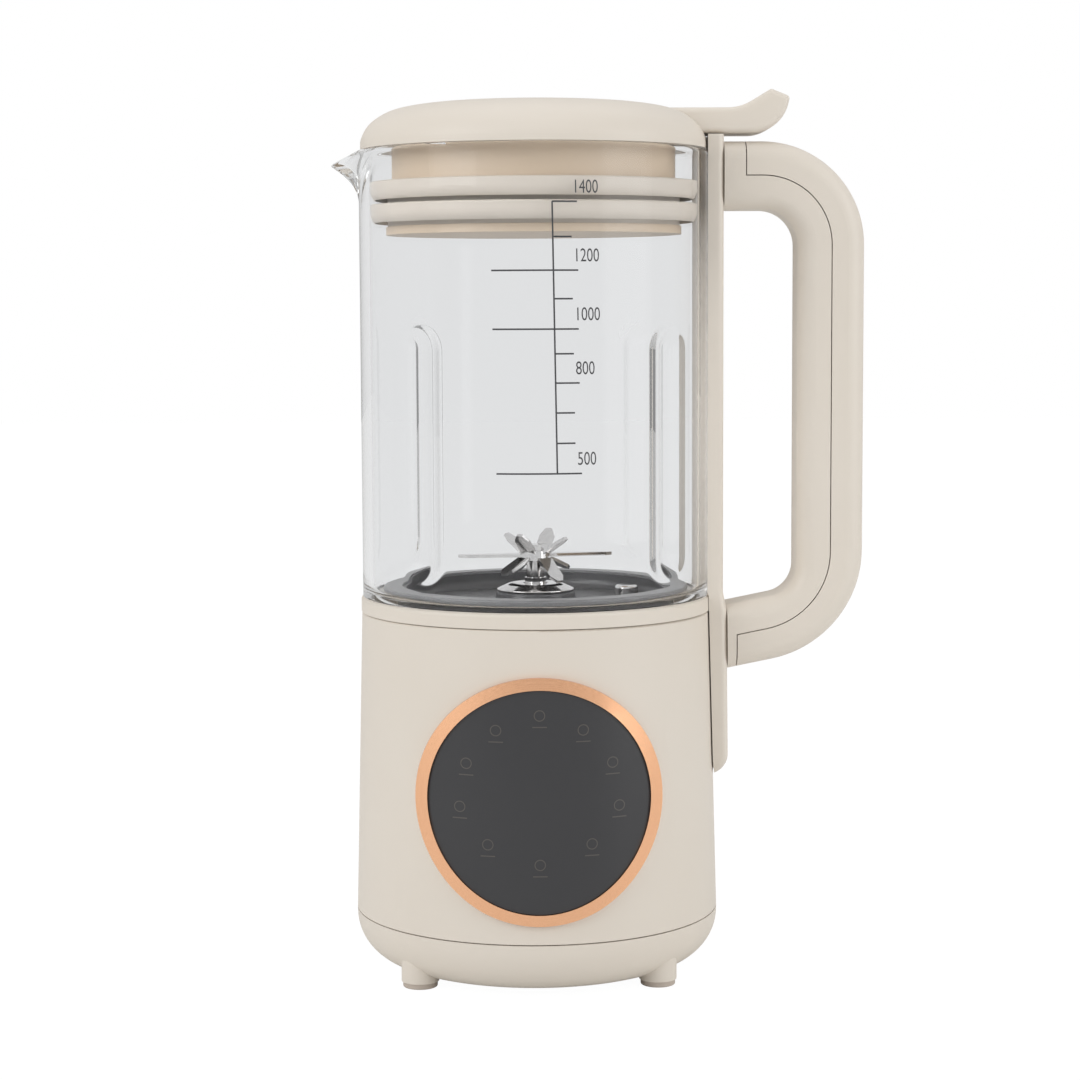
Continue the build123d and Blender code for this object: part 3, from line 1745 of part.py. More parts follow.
def make_lid_cover():
    body = dome(lid_radius, lid_height, lid_low)
    under = spine_high + tab_gap
    top = lid_low + tab_top
    start = lid_radius - tab_root
    tip_x = lid_radius + tab_reach
    tip_z = under + tab_rise
    outline = FilletPolyline(
        (start, under), (lid_radius + tab_flat, under), (tip_x, tip_z),
        (tip_x - tab_tip_back, tip_z + tab_tip_up), (lid_radius + tab_top_flat, top), (start, top),
        radius=[0, tab_under_round, tab_tip_round, tab_tip_round, tab_top_round, 0], close=True,
    )
    tab = side_profile(outline, tab_half)
    tab = fillet(tab.faces().filter_by(Plane.XZ).edges().filter_by(
        lambda edge: edge.center().X > start + tab_edge), tab_edge)
    body += tab
    hollow_low = lid_low + lid_flange
    hollow = dome(lid_radius - lid_wall, lid_height - lid_wall - lid_flange, hollow_low)
    body -= hollow
    body -= drum(plug_wall_radius + fit_gap, lid_low - overrun, hollow_low + overrun)
    x, low = magnet_spot
    return body - drum(magnet_radius + press_gap, low, low + magnet_height + press_gap, x, 0)


def make_lid_plug():
    low = lid_low - plug_length
    high = lid_low + plug_engage
    inner = plug_wall_radius - plug_wall
    body = turned([
        (0, low),
        (plug_wall_radius + plug_rim, low),
        (plug_wall_radius + plug_rim, low + plug_rim_height),
        (plug_wall_radius, low + plug_rim_height),
        (plug_wall_radius, high),
        (inner, high),
        (inner, low + plug_wall),
        (0, low + plug_wall),
    ])
    return body


def make_lid_seals():
    first = lid_low - plug_length + plug_rim_height + press_gap
    seals = Part()
    for step in range(2):
        low = first + step * (seal_face + seal_step)
        high = low + seal_face
        inner = plug_wall_radius + press_gap
        outside = turned(
            [(inner, low), (seal_radius, low), (seal_radius, high), (inner, high)],
            [0, seal_round, seal_top_round, 0],
        )
        inside = turned(
            [
                (inner + seal_wall, low - seal_wall),
                (seal_radius - seal_wall, low - seal_wall),
                (seal_radius - seal_wall, high - seal_wall),
                (inner + seal_wall, high - seal_wall),
            ],
            [0, seal_round - seal_wall, 0, 0],
        )
        seals += outside - inside
    return seals


def make_magnet():
    x, low = magnet_spot
    return drum(magnet_radius, low + press_gap / 2, low + magnet_height, x, 0)


magnet_spot = (handle_start + handle_wall * 2 + sensor_width / 2, spine_high + tab_gap + magnet_cover)
pieces["lid_cover"] = make_lid_cover()
pieces["lid_plug"] = make_lid_plug()
pieces["lid_seals"] = make_lid_seals()
pieces["lid_magnet"] = make_magnet()

for node, solid in pieces.items():
    export_step(solid, f"parts/{node}.step")
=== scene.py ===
import json
from math import atan2, copysign, cos, pi, radians, sin

import bpy
from mathutils import Matrix, Vector


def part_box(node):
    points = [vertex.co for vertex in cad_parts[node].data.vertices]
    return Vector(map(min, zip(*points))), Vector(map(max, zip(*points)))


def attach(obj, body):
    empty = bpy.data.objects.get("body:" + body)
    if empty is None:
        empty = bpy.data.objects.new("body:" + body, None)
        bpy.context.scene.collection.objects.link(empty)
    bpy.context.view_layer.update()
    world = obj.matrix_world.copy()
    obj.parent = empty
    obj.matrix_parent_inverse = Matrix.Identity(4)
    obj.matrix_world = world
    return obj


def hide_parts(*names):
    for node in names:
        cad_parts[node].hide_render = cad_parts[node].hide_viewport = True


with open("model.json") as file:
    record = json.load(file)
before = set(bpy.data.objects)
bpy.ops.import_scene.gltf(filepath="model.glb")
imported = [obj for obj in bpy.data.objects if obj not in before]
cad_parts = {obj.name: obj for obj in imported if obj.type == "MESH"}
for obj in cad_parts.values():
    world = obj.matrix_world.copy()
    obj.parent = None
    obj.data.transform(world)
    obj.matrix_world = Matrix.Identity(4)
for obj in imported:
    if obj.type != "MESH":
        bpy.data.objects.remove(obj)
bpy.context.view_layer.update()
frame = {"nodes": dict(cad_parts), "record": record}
mm = 0.001
print("frame loaded:", len(frame["nodes"]), "nodes")


def deselectAll():
    if bpy.context.mode != "OBJECT":
        bpy.ops.object.mode_set(mode="OBJECT")
    bpy.ops.object.select_all(action="DESELECT")


deselectAll()


# camera

camera = {
    "place": (-0.01542, -0.88887, 0.2330),
    "turn": -1.1,
    "pitchDown": 5.39,
    "roll": -0.27,
    "lens": 85.0,
    "clipStart": 0.01,
}


def placeCamera():
    data = bpy.data.cameras.new("camera")
    data.lens = camera["lens"]
    data.clip_start = camera["clipStart"]
    item = bpy.data.objects.new("camera", data)
    bpy.context.scene.collection.objects.link(item)
    turn = Matrix.Rotation(radians(camera["turn"]), 4, "Z")
    tilt = Matrix.Rotation(radians(90 - camera["pitchDown"]), 4, "X")
    roll = Matrix.Rotation(radians(camera["roll"]), 4, "Z")
    item.matrix_world = Matrix.Translation(camera["place"]) @ turn @ tilt @ roll
    bpy.context.scene.camera = item


placeCamera()
print("camera placed")


# helpers for shader nodes

noiseSpread = (0.3, 0.7)  # most of a noise texture's values lie between these


def rgb(red, green, blue):
    return (red, green, blue, 1)


def feed(tree, socket, source):
    # a number or a colour is set on the socket, and a node's output is linked to it
    if isinstance(source, (int, float, tuple)):
        socket.default_value = source
    else:
        tree.links.new(source, socket)


def addMath(tree, operation, *sources):
    node = tree.nodes.new("ShaderNodeMath")
    node.operation = operation
    for index, source in enumerate(sources):
        feed(tree, node.inputs[index], source)
    return node.outputs[0]


def addVectorMath(tree, operation, *sources):
    node = tree.nodes.new("ShaderNodeVectorMath")
    node.operation = operation
    for index, source in enumerate(sources):
        feed(tree, node.inputs[index], source)
    return node.outputs["Value" if operation == "LENGTH" else "Vector"]


def addNoise(tree, vector, scale, detail):
    node = tree.nodes.new("ShaderNodeTexNoise")
    for label, source in (("Vector", vector), ("Scale", scale), ("Detail", detail)):
        feed(tree, node.inputs[label], source)
    return node.outputs["Fac"]


def mapRange(tree, value, low, high, between=noiseSpread):
    node = tree.nodes.new("ShaderNodeMapRange")
    for label, source in (
        ("Value", value), ("From Min", between[0]), ("From Max", between[1]), ("To Min", low), ("To Max", high),
    ):
        feed(tree, node.inputs[label], source)
    return node.outputs[0]


def mixColor(tree, factor, first, second):
    node = tree.nodes.new("ShaderNodeMix")
    node.data_type = "RGBA"
    feed(tree, node.inputs["Factor"], factor)
    feed(tree, node.inputs[6], first)  # 6 and 7 are the sockets of the two colours
    feed(tree, node.inputs[7], second)
    return node.outputs[2]


def mixShaders(tree, factor, first, second):
    node = tree.nodes.new("ShaderNodeMixShader")
    for index, source in enumerate((factor, first, second)):
        feed(tree, node.inputs[index], source)
    return node.outputs[0]


def seenRays(tree):
    # one for rays from the camera and for rays that have come through the glass
    path = tree.nodes.new("ShaderNodeLightPath")
    return path, addMath(tree, "MAXIMUM", path.outputs["Is Camera Ray"], path.outputs["Is Transmission Ray"])


def glowStrength(tree, path, direct, through):
    # direct for rays from the camera, and through for all others
    return addMath(tree, "MULTIPLY_ADD", path.outputs["Is Camera Ray"], direct - through, through)


def startMaterial(name):
    mat = bpy.data.materials.new(name)
    mat.use_nodes = True
    return mat, mat.node_tree, mat.node_tree.nodes["Principled BSDF"]


# studio: soft lamps, a pale world and a pale floor

studio = {
    "worldStrength": 0.66,
    "worldLow": 0.62,  # tone straight below, where 1 is the tone straight above
    "shineFrom": -0.1,  # reflections go from dark to light between these heights
    "shineTo": 0.8,
    "shineLow": 0.28,
    "shineHigh": 0.95,
    "lamps": [
        # name, place, aim, size x, size y, power
        ("keyLamp", (-1.15, -0.8, 0.75), (0, 0, 0.13), 0.9, 0.9, 7.6),
        ("fillLamp", (1.25, -0.65, 0.45), (0, 0, 0.13), 0.9, 0.9, 5.8),
        ("topLamp", (0.0, 0.1, 1.35), (0, 0, 0.1), 1.2, 1.2, 2.6),
    ],
    "floorSize": 8.0,
    "floorTone": rgb(0.86, 0.86, 0.85),
    "floorGloss": 0.9,
    "floorShow": 0.93,  # share of plain glow in the floor, and the rest takes shadows
    "floorGlow": 1.05,
    "throughGlass": 0.86,  # strengths of world and floor as seen through the glass
    "throughFloor": 0.885,
}


def buildWorld():
    world = bpy.data.worlds.new("paleWorld")
    world.use_nodes = True
    bpy.context.scene.world = world
    tree = world.node_tree
    tree.nodes.clear()
    out = tree.nodes.new("ShaderNodeOutputWorld")
    room, shine, white = [tree.nodes.new("ShaderNodeBackground") for kind in range(3)]

    # lighter overhead than near the floor, and more so in reflections
    split = tree.nodes.new("ShaderNodeSeparateXYZ")
    feed(tree, split.inputs[0], tree.nodes.new("ShaderNodeTexCoord").outputs["Generated"])
    height = split.outputs["Z"]
    between = studio["shineFrom"], studio["shineTo"]
    feed(tree, room.inputs["Color"], mapRange(tree, height, studio["worldLow"], 1, (-1, 1)))
    feed(tree, room.inputs["Strength"], studio["worldStrength"])
    feed(tree, shine.inputs["Color"], mapRange(tree, height, studio["shineLow"], studio["shineHigh"], between))

    # plain white for the camera, and a little less through the glass
    path, seen = seenRays(tree)
    feed(tree, white.inputs["Color"], rgb(1, 1, 1))
    feed(tree, white.inputs["Strength"], glowStrength(tree, path, 1, studio["throughGlass"]))
    mirror = mixShaders(tree, path.outputs["Is Glossy Ray"], room.outputs[0], shine.outputs[0])
    feed(tree, out.inputs[0], mixShaders(tree, seen, mirror, white.outputs[0]))


def addLamp(name, place, aim, sizeX, sizeY, power):
    data = bpy.data.lights.new(name, "AREA")
    data.shape = "RECTANGLE"
    data.size, data.size_y = sizeX, sizeY
    data.energy = power
    item = bpy.data.objects.new(name, data)
    bpy.context.scene.collection.objects.link(item)
    item.location = place
    item.rotation_euler = (Vector(aim) - Vector(place)).to_track_quat("-Z", "Y").to_euler()


def buildFloor():
    deselectAll()
    bpy.ops.mesh.primitive_plane_add(size=studio["floorSize"], location=(0, 0, 0))
    floor = bpy.context.object
    floor.name = "studio_floor"
    mat, tree, shader = startMaterial("paleFloor")
    feed(tree, shader.inputs["Base Color"], studio["floorTone"])
    feed(tree, shader.inputs["Roughness"], studio["floorGloss"])
    path, seen = seenRays(tree)
    glow = tree.nodes.new("ShaderNodeEmission")
    feed(tree, glow.inputs["Color"], rgb(1, 1, 1))
    feed(tree, glow.inputs["Strength"], glowStrength(tree, path, studio["floorGlow"], studio["throughFloor"]))
    share = addMath(tree, "MULTIPLY", seen, studio["floorShow"])
    surface = mixShaders(tree, share, shader.outputs[0], glow.outputs[0])
    feed(tree, tree.nodes["Material Output"].inputs[0], surface)
    floor.data.materials.append(mat)


buildWorld()
for lamp in studio["lamps"]:
    addLamp(*lamp)
buildFloor()
bpy.context.scene.view_settings.view_transform = "Standard"
print("studio lit")


# shared effects: a tone and a second tone over it, with gloss and height

def newGroup(name, inputs):
    tree = bpy.data.node_groups.new(name, "ShaderNodeTree")
    for label, kind, value in inputs:
        socket = tree.interface.new_socket(name=label, in_out="INPUT", socket_type=kind)
        socket.default_value = value
    for label, kind in (
        ("Color", "NodeSocketColor"), ("Roughness", "NodeSocketFloat"), ("Height", "NodeSocketFloat"),
    ):
        tree.interface.new_socket(name=label, in_out="OUTPUT", socket_type=kind)
    start = tree.nodes.new("NodeGroupInput")
    end = tree.nodes.new("NodeGroupOutput")
    return tree, start.outputs, end.inputs


def joinGroup(tree, start, end, secondTone, broad, fine):
    # the tone follows the broad noise, and gloss and height follow the fine one
    spread = mapRange(tree, broad, 0.0, 1.0)
    feed(tree, end["Color"], mixColor(tree, spread, start["Tone"], start[secondTone]))
    feed(tree, end["Roughness"], mapRange(tree, fine, start["Gloss Low"], start["Gloss High"]))
    feed(tree, end["Height"], fine)
    return tree


def buildMoldedSkin():
    # moulded plastic or rubber: slow tone drift, fine pebble in height and gloss
    tree, start, end = newGroup("moldedSkin", [
        ("Tone", "NodeSocketColor", rgb(0.8, 0.8, 0.8)),
        ("Drift Tone", "NodeSocketColor", rgb(0.7, 0.7, 0.7)),
        ("Drift Scale", "NodeSocketFloat", 18),
        ("Grain Scale", "NodeSocketFloat", 2500),
        ("Gloss Low", "NodeSocketFloat", 0.4),
        ("Gloss High", "NodeSocketFloat", 0.5),
    ])
    where = tree.nodes.new("ShaderNodeTexCoord").outputs["Object"]
    drift = addNoise(tree, where, start["Drift Scale"], 3)
    grain = addNoise(tree, where, start["Grain Scale"], 2)
    return joinGroup(tree, start, end, "Drift Tone", drift, grain)


def buildBrushedMetal():
    # straight or round brushing: noise stretched along the lines
    tree, start, end = newGroup("brushedMetal", [
        ("Vector", "NodeSocketVector", (0, 0, 0)),
        ("Tone", "NodeSocketColor", rgb(0.7, 0.7, 0.7)),
        ("Streak Tone", "NodeSocketColor", rgb(0.6, 0.6, 0.6)),
        ("Streak Scale", "NodeSocketFloat", 900),
        ("Gloss Low", "NodeSocketFloat", 0.2),
        ("Gloss High", "NodeSocketFloat", 0.35),
    ])
    streak = addNoise(tree, start["Vector"], start["Streak Scale"], 4)
    return joinGroup(tree, start, end, "Streak Tone", streak, streak)


moldedSkin = buildMoldedSkin()
brushedMetal = buildBrushedMetal()


# finishes: one for each slot of the record, and the two inks

surfaceRelief = {
    "driftScale": 18,
    "grainDepth": 0.05,
    "streakDepth": 0.03,
}
glassLook = {
    "tone": rgb(0.93, 0.935, 0.94),
    "shadowTone": rgb(0.93, 0.93, 0.93),
    "index": 1.16,
    "waveScale": 60,
    "roughest": 0.012,
    "lastBounce": 4.5,  # past this depth a ray goes straight on
}
ringCentre = (0, 0, 68.2 * mm)


def coverWith(tree, shader, group, values, bump, depth, vector=None):
    skin = tree.nodes.new("ShaderNodeGroup")
    skin.node_tree = group
    for label, value in values.items():
        feed(tree, skin.inputs[label], value)
    if vector:
        feed(tree, skin.inputs["Vector"], vector)
    feed(tree, shader.inputs["Base Color"], skin.outputs["Color"])
    feed(tree, shader.inputs["Roughness"], skin.outputs["Roughness"])
    relief = tree.nodes.new("ShaderNodeBump")
    feed(tree, relief.inputs["Strength"], bump)
    feed(tree, relief.inputs["Distance"], depth * mm)
    feed(tree, relief.inputs["Height"], skin.outputs["Height"])
    feed(tree, shader.inputs["Normal"], relief.outputs[0])


def molded(name, tone, drift, gloss, grain=2500, bump=0.1, specular=0.5):
    mat, tree, shader = startMaterial(name)
    coverWith(tree, shader, moldedSkin, {
        "Tone": tone, "Drift Tone": drift, "Drift Scale": surfaceRelief["driftScale"], "Grain Scale": grain,
        "Gloss Low": gloss[0], "Gloss High": gloss[1],
    }, bump, surfaceRelief["grainDepth"])
    shader.inputs["Specular IOR Level"].default_value = specular
    return mat


def straightLines(tree, where, stretch):
    mapping = tree.nodes.new("ShaderNodeMapping")
    feed(tree, mapping.inputs["Scale"], stretch)
    feed(tree, mapping.inputs["Vector"], where)
    return mapping.outputs[0]


def roundLines(tree, where, centre, axis):
    # distance from the axis and place along it, so that the noise runs in rings
    shift = addVectorMath(tree, "SUBTRACT", where, centre)
    flat = addVectorMath(tree, "MULTIPLY", shift, tuple(0.0 if i == axis else 1.0 for i in range(3)))
    split = tree.nodes.new("ShaderNodeSeparateXYZ")
    feed(tree, split.inputs[0], shift)
    join = tree.nodes.new("ShaderNodeCombineXYZ")
    feed(tree, join.inputs["X"], addVectorMath(tree, "LENGTH", flat))
    feed(tree, join.inputs["Y"], split.outputs[axis])
    return join.outputs[0]


def brushed(name, tone, streak, gloss, scale, stretch=(1, 1, 1), around=None, bump=0.1):
    # stretch is small along the lines, and around gives the centre and axis of round brushing
    mat, tree, shader = startMaterial(name)
    where = tree.nodes.new("ShaderNodeTexCoord").outputs["Object"]
    vector = roundLines(tree, where, *around) if around else straightLines(tree, where, stretch)
    coverWith(tree, shader, brushedMetal, {
        "Tone": tone, "Streak Tone": streak, "Streak Scale": scale,
        "Gloss Low": gloss[0], "Gloss High": gloss[1],
    }, bump, surfaceRelief["streakDepth"], vector)
    shader.inputs["Metallic"].default_value = 1.0
    return mat


def clearGlass(name, look):
    mat, tree, shader = startMaterial(name)
    wave = addNoise(tree, tree.nodes.new("ShaderNodeTexCoord").outputs["Object"], look["waveScale"], 2)
    feed(tree, shader.inputs["Roughness"], mapRange(tree, wave, 0.0, look["roughest"]))
    shader.inputs["Base Color"].default_value = look["tone"]
    shader.inputs["Transmission Weight"].default_value = 1.0
    shader.inputs["IOR"].default_value = look["index"]
    clear = tree.nodes.new("ShaderNodeBsdfTransparent")
    clear.inputs["Color"].default_value = look["shadowTone"]

    # light that has crossed both walls on both sides goes straight on, so that none is trapped
    path = tree.nodes.new("ShaderNodeLightPath")
    deep = addMath(tree, "GREATER_THAN", path.outputs["Ray Depth"], look["lastBounce"])
    passes = addMath(tree, "MAXIMUM", path.outputs["Is Shadow Ray"], deep)
    surface = mixShaders(tree, passes, shader.outputs[0], clear.outputs[0])
    feed(tree, tree.nodes["Material Output"].inputs[0], surface)
    return mat


finishes = {
    "cream_plastic": molded(
        "creamPlastic", rgb(0.735, 0.675, 0.598), rgb(0.722, 0.660, 0.580), gloss=(0.42, 0.5),
    ),
    # lid plastic: the lid's own tone darkened and warmed to tan, painted shade for the plug's neck and the gap
    # between the seals behind the glass
    "lid_plastic": molded(
        "lidPlasticWithPaintedShade", rgb(0.61, 0.50, 0.385), rgb(0.59, 0.48, 0.365), gloss=(0.4, 0.5),
    ),
    "silicone_cream": molded(
        "silicone", rgb(0.62, 0.565, 0.50), rgb(0.605, 0.55, 0.485), gloss=(0.45, 0.6),
    ),
    "silicone_grey": molded(
        "greyGasket", rgb(0.20, 0.20, 0.205), rgb(0.22, 0.22, 0.225), gloss=(0.3, 0.42),
    ),
    "foot_rubber": molded(
        "footRubber", rgb(0.54, 0.47, 0.41), rgb(0.51, 0.44, 0.38), gloss=(0.6, 0.75),
    ),
    "jar_glass": clearGlass("jarGlass", glassLook),
    "panel_black": molded(
        "smokedPane", rgb(0.050, 0.050, 0.053), rgb(0.047, 0.047, 0.050), gloss=(0.3, 0.34),
        bump=0.02, specular=0.3,
    ),
    "rose_gold": brushed(
        "roseGold", rgb(0.92, 0.52, 0.31), rgb(0.88, 0.48, 0.28), gloss=(0.12, 0.2), scale=3000,
        around=(ringCentre, 1), bump=0.04,
    ),
    "steel": brushed(
        "brushedSteel", rgb(0.74, 0.73, 0.72), rgb(0.62, 0.61, 0.61), gloss=(0.07, 0.15), scale=300,
        stretch=(1, 12, 1),
    ),
    "bowl_coating": molded(
        "bowlCoating", rgb(0.092, 0.092, 0.095), rgb(0.078, 0.078, 0.081), gloss=(0.25, 0.4), grain=1600,
    ),
    "aluminium": brushed(
        "castAluminium", rgb(0.62, 0.62, 0.63), rgb(0.5, 0.5, 0.51), gloss=(0.35, 0.5), scale=400,
    ),
    "core_steel": brushed(
        "laminatedCore", rgb(0.24, 0.24, 0.25), rgb(0.14, 0.14, 0.15), gloss=(0.4, 0.55), scale=500,
        stretch=(0.02, 0.02, 4),
    ),
    "copper": brushed(
        "windingCopper", rgb(0.70, 0.32, 0.15), rgb(0.42, 0.18, 0.08), gloss=(0.25, 0.4), scale=700,
        stretch=(0.3, 0.3, 3),
    ),
    "bronze": brushed(
        "turnedBronze", rgb(0.62, 0.42, 0.20), rgb(0.5, 0.33, 0.15), gloss=(0.25, 0.4), scale=700,
        stretch=(0.2, 0.2, 4),
    ),
    "black_plastic": molded(
        "blackPlastic", rgb(0.022, 0.022, 0.024), rgb(0.028, 0.028, 0.03), gloss=(0.4, 0.52),
    ),
    "board_green": molded(
        "boardGreen", rgb(0.015, 0.10, 0.045), rgb(0.012, 0.08, 0.035), gloss=(0.25, 0.35),
    ),
    "carbon": molded(
        "pressedCarbon", rgb(0.03, 0.03, 0.032), rgb(0.045, 0.045, 0.047), gloss=(0.5, 0.65),
    ),
    "black_rubber": molded(
        "blackRubber", rgb(0.02, 0.02, 0.02), rgb(0.028, 0.028, 0.028), gloss=(0.6, 0.75),
    ),
    "scale_ink": molded(
        "scaleInk", rgb(0.045, 0.045, 0.05), rgb(0.06, 0.06, 0.065), gloss=(0.5, 0.6),
    ),
    "panel_ink": molded(
        "panelInk", rgb(0.088, 0.079, 0.072), rgb(0.082, 0.074, 0.068), gloss=(0.4, 0.5),
    ),
    "magnet": brushed(
        "nickelPlate", rgb(0.55, 0.54, 0.52), rgb(0.46, 0.45, 0.44), gloss=(0.15, 0.25), scale=600,
    ),
}
print("finishes made:", len(finishes))


# tools for new pieces

weldGap = 0.005  # millimetres between points that become one


def spinRings(name, profile, segments):
    # the profile is a list of (radius, height) in millimetres, and ends where it began
    deselectAll()
    radius, height = profile[0]
    bpy.ops.mesh.primitive_circle_add(
        vertices=segments, radius=radius * mm, location=(0, 0, height * mm), fill_type="NOTHING",
    )
    item = bpy.context.object
    item.name = name
    bpy.ops.object.transform_apply(location=True, rotation=True, scale=True)
    bpy.ops.object.mode_set(mode="EDIT")
    bpy.ops.mesh.select_all(action="SELECT")
    for nextRadius, nextHeight in profile[1:]:
        lift = (0, 0, (nextHeight - height) * mm)
        bpy.ops.mesh.extrude_edges_move(TRANSFORM_OT_translate={"value": lift})
        share = nextRadius / radius
        bpy.ops.transform.resize(value=(share, share, 1), center_override=(0, 0, 0))
        radius, height = nextRadius, nextHeight
    bpy.ops.mesh.select_all(action="SELECT")
    bpy.ops.mesh.remove_doubles(threshold=weldGap * mm)
    bpy.ops.mesh.normals_make_consistent(inside=False)
    bpy.ops.object.mode_set(mode="OBJECT")
    return item


def arcPoints(centreRadius, centreHeight, radius, first, last, count):
    turns = [radians(first + (last - first) * step / count) for step in range(count + 1)]
    return [(centreRadius + radius * cos(turn), centreHeight + radius * sin(turn)) for turn in turns]


def evenSteps(low, high, pitch):
    count = max(1, round(abs(high - low) / pitch))
    return [low + (high - low) * step / count for step in range(1, count + 1)]


def clamp(value):
    return min(1, max(0, value))


def softMin(first, second, reach):
    # the lower of the two, with the corner between them rounded
    share = clamp(0.5 + 0.5 * (second - first) / reach)
    return second + (first - second) * share - reach * share * (1 - share)


def smoothAll(item, angle):
    deselectAll()
    item.select_set(True)
    bpy.context.view_layer.objects.active = item
    bpy.ops.object.shade_smooth_by_angle(angle=radians(angle))


def joinAll(items, name):
    deselectAll()
    for item in items:
        item.select_set(True)
    bpy.context.view_layer.objects.active = items[0]
    bpy.ops.object.join()
    items[0].name = name
    return items[0]


def finishPiece(item, material, slotName, body, *nodes):
    item.data.materials.clear()
    item.data.materials.append(material)
    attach(item, body)
    if nodes:
        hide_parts(*nodes)


# glass jar: two walls, pressed ribs and a drooping spout

glassJar = {
    "segments": 360, "roundSteps": 6, "footSteps": 5, "smoothAngle": 50,
    "outer": 60.3, "inner": 56.8, "foot": 57.9, "floorHole": 48.5,
    "low": 127.45, "floorTop": 131.45, "shoulder": 130.7, "rim": 283.95,
    "footRound": 1.2, "rimRound": 1.6, "innerRound": 3.6,
    "ribs": 4, "ribFirst": 48.5, "ribNear": 0.9,  # the last is the cosine of the turn that a rib reaches
    "ribAxis": 65.8, "ribLow": 146.95, "ribHigh": 215.95, "ribRadius": 8.4, "ribBlend": 2.4,
    "spoutLow": 269.45, "spoutReach": 72.4, "spoutHalf": 23.0, "spoutBack": 53.3, "spoutRootHalf": 2.5,
    "spoutWall": 4.5, "spoutBlend": 3.0, "spoutTip": 2.2, "spoutSide": 60, "spoutSideNear": 0.2,
    "spoutStagger": 0.9, "spoutEase": 3, "spoutFade": 4, "dipStart": 59.1, "dipSlope": 0.418,
    # rings of points: closer at the ends of the ribs and along the spout
    "ribRunOut": 9, "ribRunIn": 3, "wallPitch": 3.5, "ribEndPitch": 0.8, "ribPitch": 4.5,
    "upperPitch": 6.0, "spoutPitch": 0.9, "ringGap": 0.3,
    "wallSlack": 0.2, "shoulderSlack": 0.01,
}


def wallHeights():
    jar = glassJar
    heights = []
    at = jar["shoulder"]
    for high, pitch in (
        (jar["ribLow"] - jar["ribRunOut"], jar["wallPitch"]),
        (jar["ribLow"] + jar["ribRunIn"], jar["ribEndPitch"]),
        (jar["ribHigh"] - jar["ribRunIn"], jar["ribPitch"]),
        (jar["ribHigh"] + jar["ribRunOut"], jar["ribEndPitch"]),
        (jar["spoutLow"] - jar["spoutEase"], jar["upperPitch"]),
        (jar["rim"] - jar["rimRound"], jar["spoutPitch"]),
    ):
        heights += evenSteps(at, high, pitch)
        at = high
    return heights


def jarProfile():
    jar = glassJar
    low, foot, outer, inner = jar["low"], jar["foot"], jar["outer"], jar["inner"]
    rimRound, rim, shoulder, steps = jar["rimRound"], jar["rim"], jar["shoulder"], jar["roundSteps"]
    heights = wallHeights()
    floorStart = jar["floorTop"] + jar["innerRound"]
    footRound = jar["footRound"]
    profile = [(jar["floorHole"], low)]
    profile += arcPoints(foot - footRound, low + footRound, footRound, -90, 0, jar["footSteps"])
    profile += [(foot, shoulder), (outer, shoulder)]
    profile += [(outer, height) for height in heights]
    profile += arcPoints(outer - rimRound, rim - rimRound, rimRound, 0, 90, steps)[1:]
    profile += arcPoints(inner + rimRound, rim - rimRound, rimRound, 90, 180, steps)
    profile += [(inner, height) for height in reversed(heights[:-1]) if height > floorStart + jar["ringGap"]]
    profile += arcPoints(inner - jar["innerRound"], floorStart, jar["innerRound"], 0, -90, steps)
    profile += [(jar["floorHole"], jar["floorTop"]), (jar["floorHole"], low)]
    return profile


def ribbedRadius(radius, angle, height):
    # how far out the wall stands where the ribs are pressed in, the inner wall a wall's thickness deeper
    jar = glassJar
    depth = jar["outer"] - radius
    beyond = max(0, jar["ribLow"] - height, height - jar["ribHigh"])
    for rib in range(jar["ribs"]):
        turn = angle - radians(jar["ribFirst"] + 360 / jar["ribs"] * rib)
        if cos(turn) < jar["ribNear"]:
            continue
        across = jar["ribAxis"] * sin(turn)
        square = (jar["ribRadius"] + depth) ** 2 - beyond ** 2 - across ** 2
        dent = jar["ribAxis"] * cos(turn) - copysign(abs(square) ** 0.5, square)
        radius = softMin(radius, dent, jar["ribBlend"])
    return radius


def spoutRadius(wallRadius, radius, angle, height):
    # how far out the wall stands where the spout is drawn out of it towards the rim
    jar = glassJar
    side = abs((angle % (2 * pi)) - pi)
    start = jar["spoutLow"]
    if side > radians(jar["spoutSide"]) or height < start - jar["spoutEase"]:
        return radius
    depth = jar["outer"] - wallRadius
    wall = jar["outer"] - jar["inner"]
    late = depth * jar["spoutStagger"]
    up = clamp((height - start - late) / (jar["rim"] - start - late))
    tip = wallRadius + (jar["spoutReach"] - depth / wall * jar["spoutWall"] - wallRadius) * up
    half = jar["spoutRootHalf"] + (jar["spoutHalf"] - depth - jar["spoutRootHalf"]) * up
    slope = (tip - jar["spoutBack"]) / half
    across = tip / (cos(side) + slope * sin(side)) * sin(side)
    beak = tip - slope * (across ** 2 + (jar["spoutTip"] * up) ** 2) ** 0.5
    grown = -softMin(-radius, -beak / max(cos(side), jar["spoutSideNear"]), jar["spoutBlend"])
    return radius + (grown - radius) * clamp((height - start + jar["spoutEase"]) / jar["spoutFade"])


def buildGlassJar():
    jar = glassJar
    item = spinRings("glass_jar_blown", jarProfile(), jar["segments"])
    for vertex in item.data.vertices:
        x, y, height = vertex.co / mm
        wallRadius = (x * x + y * y) ** 0.5
        if wallRadius < jar["inner"] - jar["wallSlack"] or height < jar["shoulder"] + jar["shoulderSlack"]:
            continue
        angle = atan2(y, x)
        radius = ribbedRadius(wallRadius, angle, height)
        radius = spoutRadius(wallRadius, radius, angle, height)
        x, y = radius * cos(angle), radius * sin(angle)
        share = clamp((height - jar["spoutLow"]) / (jar["rim"] - jar["spoutLow"]))
        drop = jar["dipSlope"] * max(0, -x - jar["dipStart"]) * share
        vertex.co = (x * mm, y * mm, (height - drop) * mm)
    item.data.update()
    smoothAll(item, jar["smoothAngle"])
    finishPiece(item, finishes["jar_glass"], "jar_glass", "jar", "glass_jar")


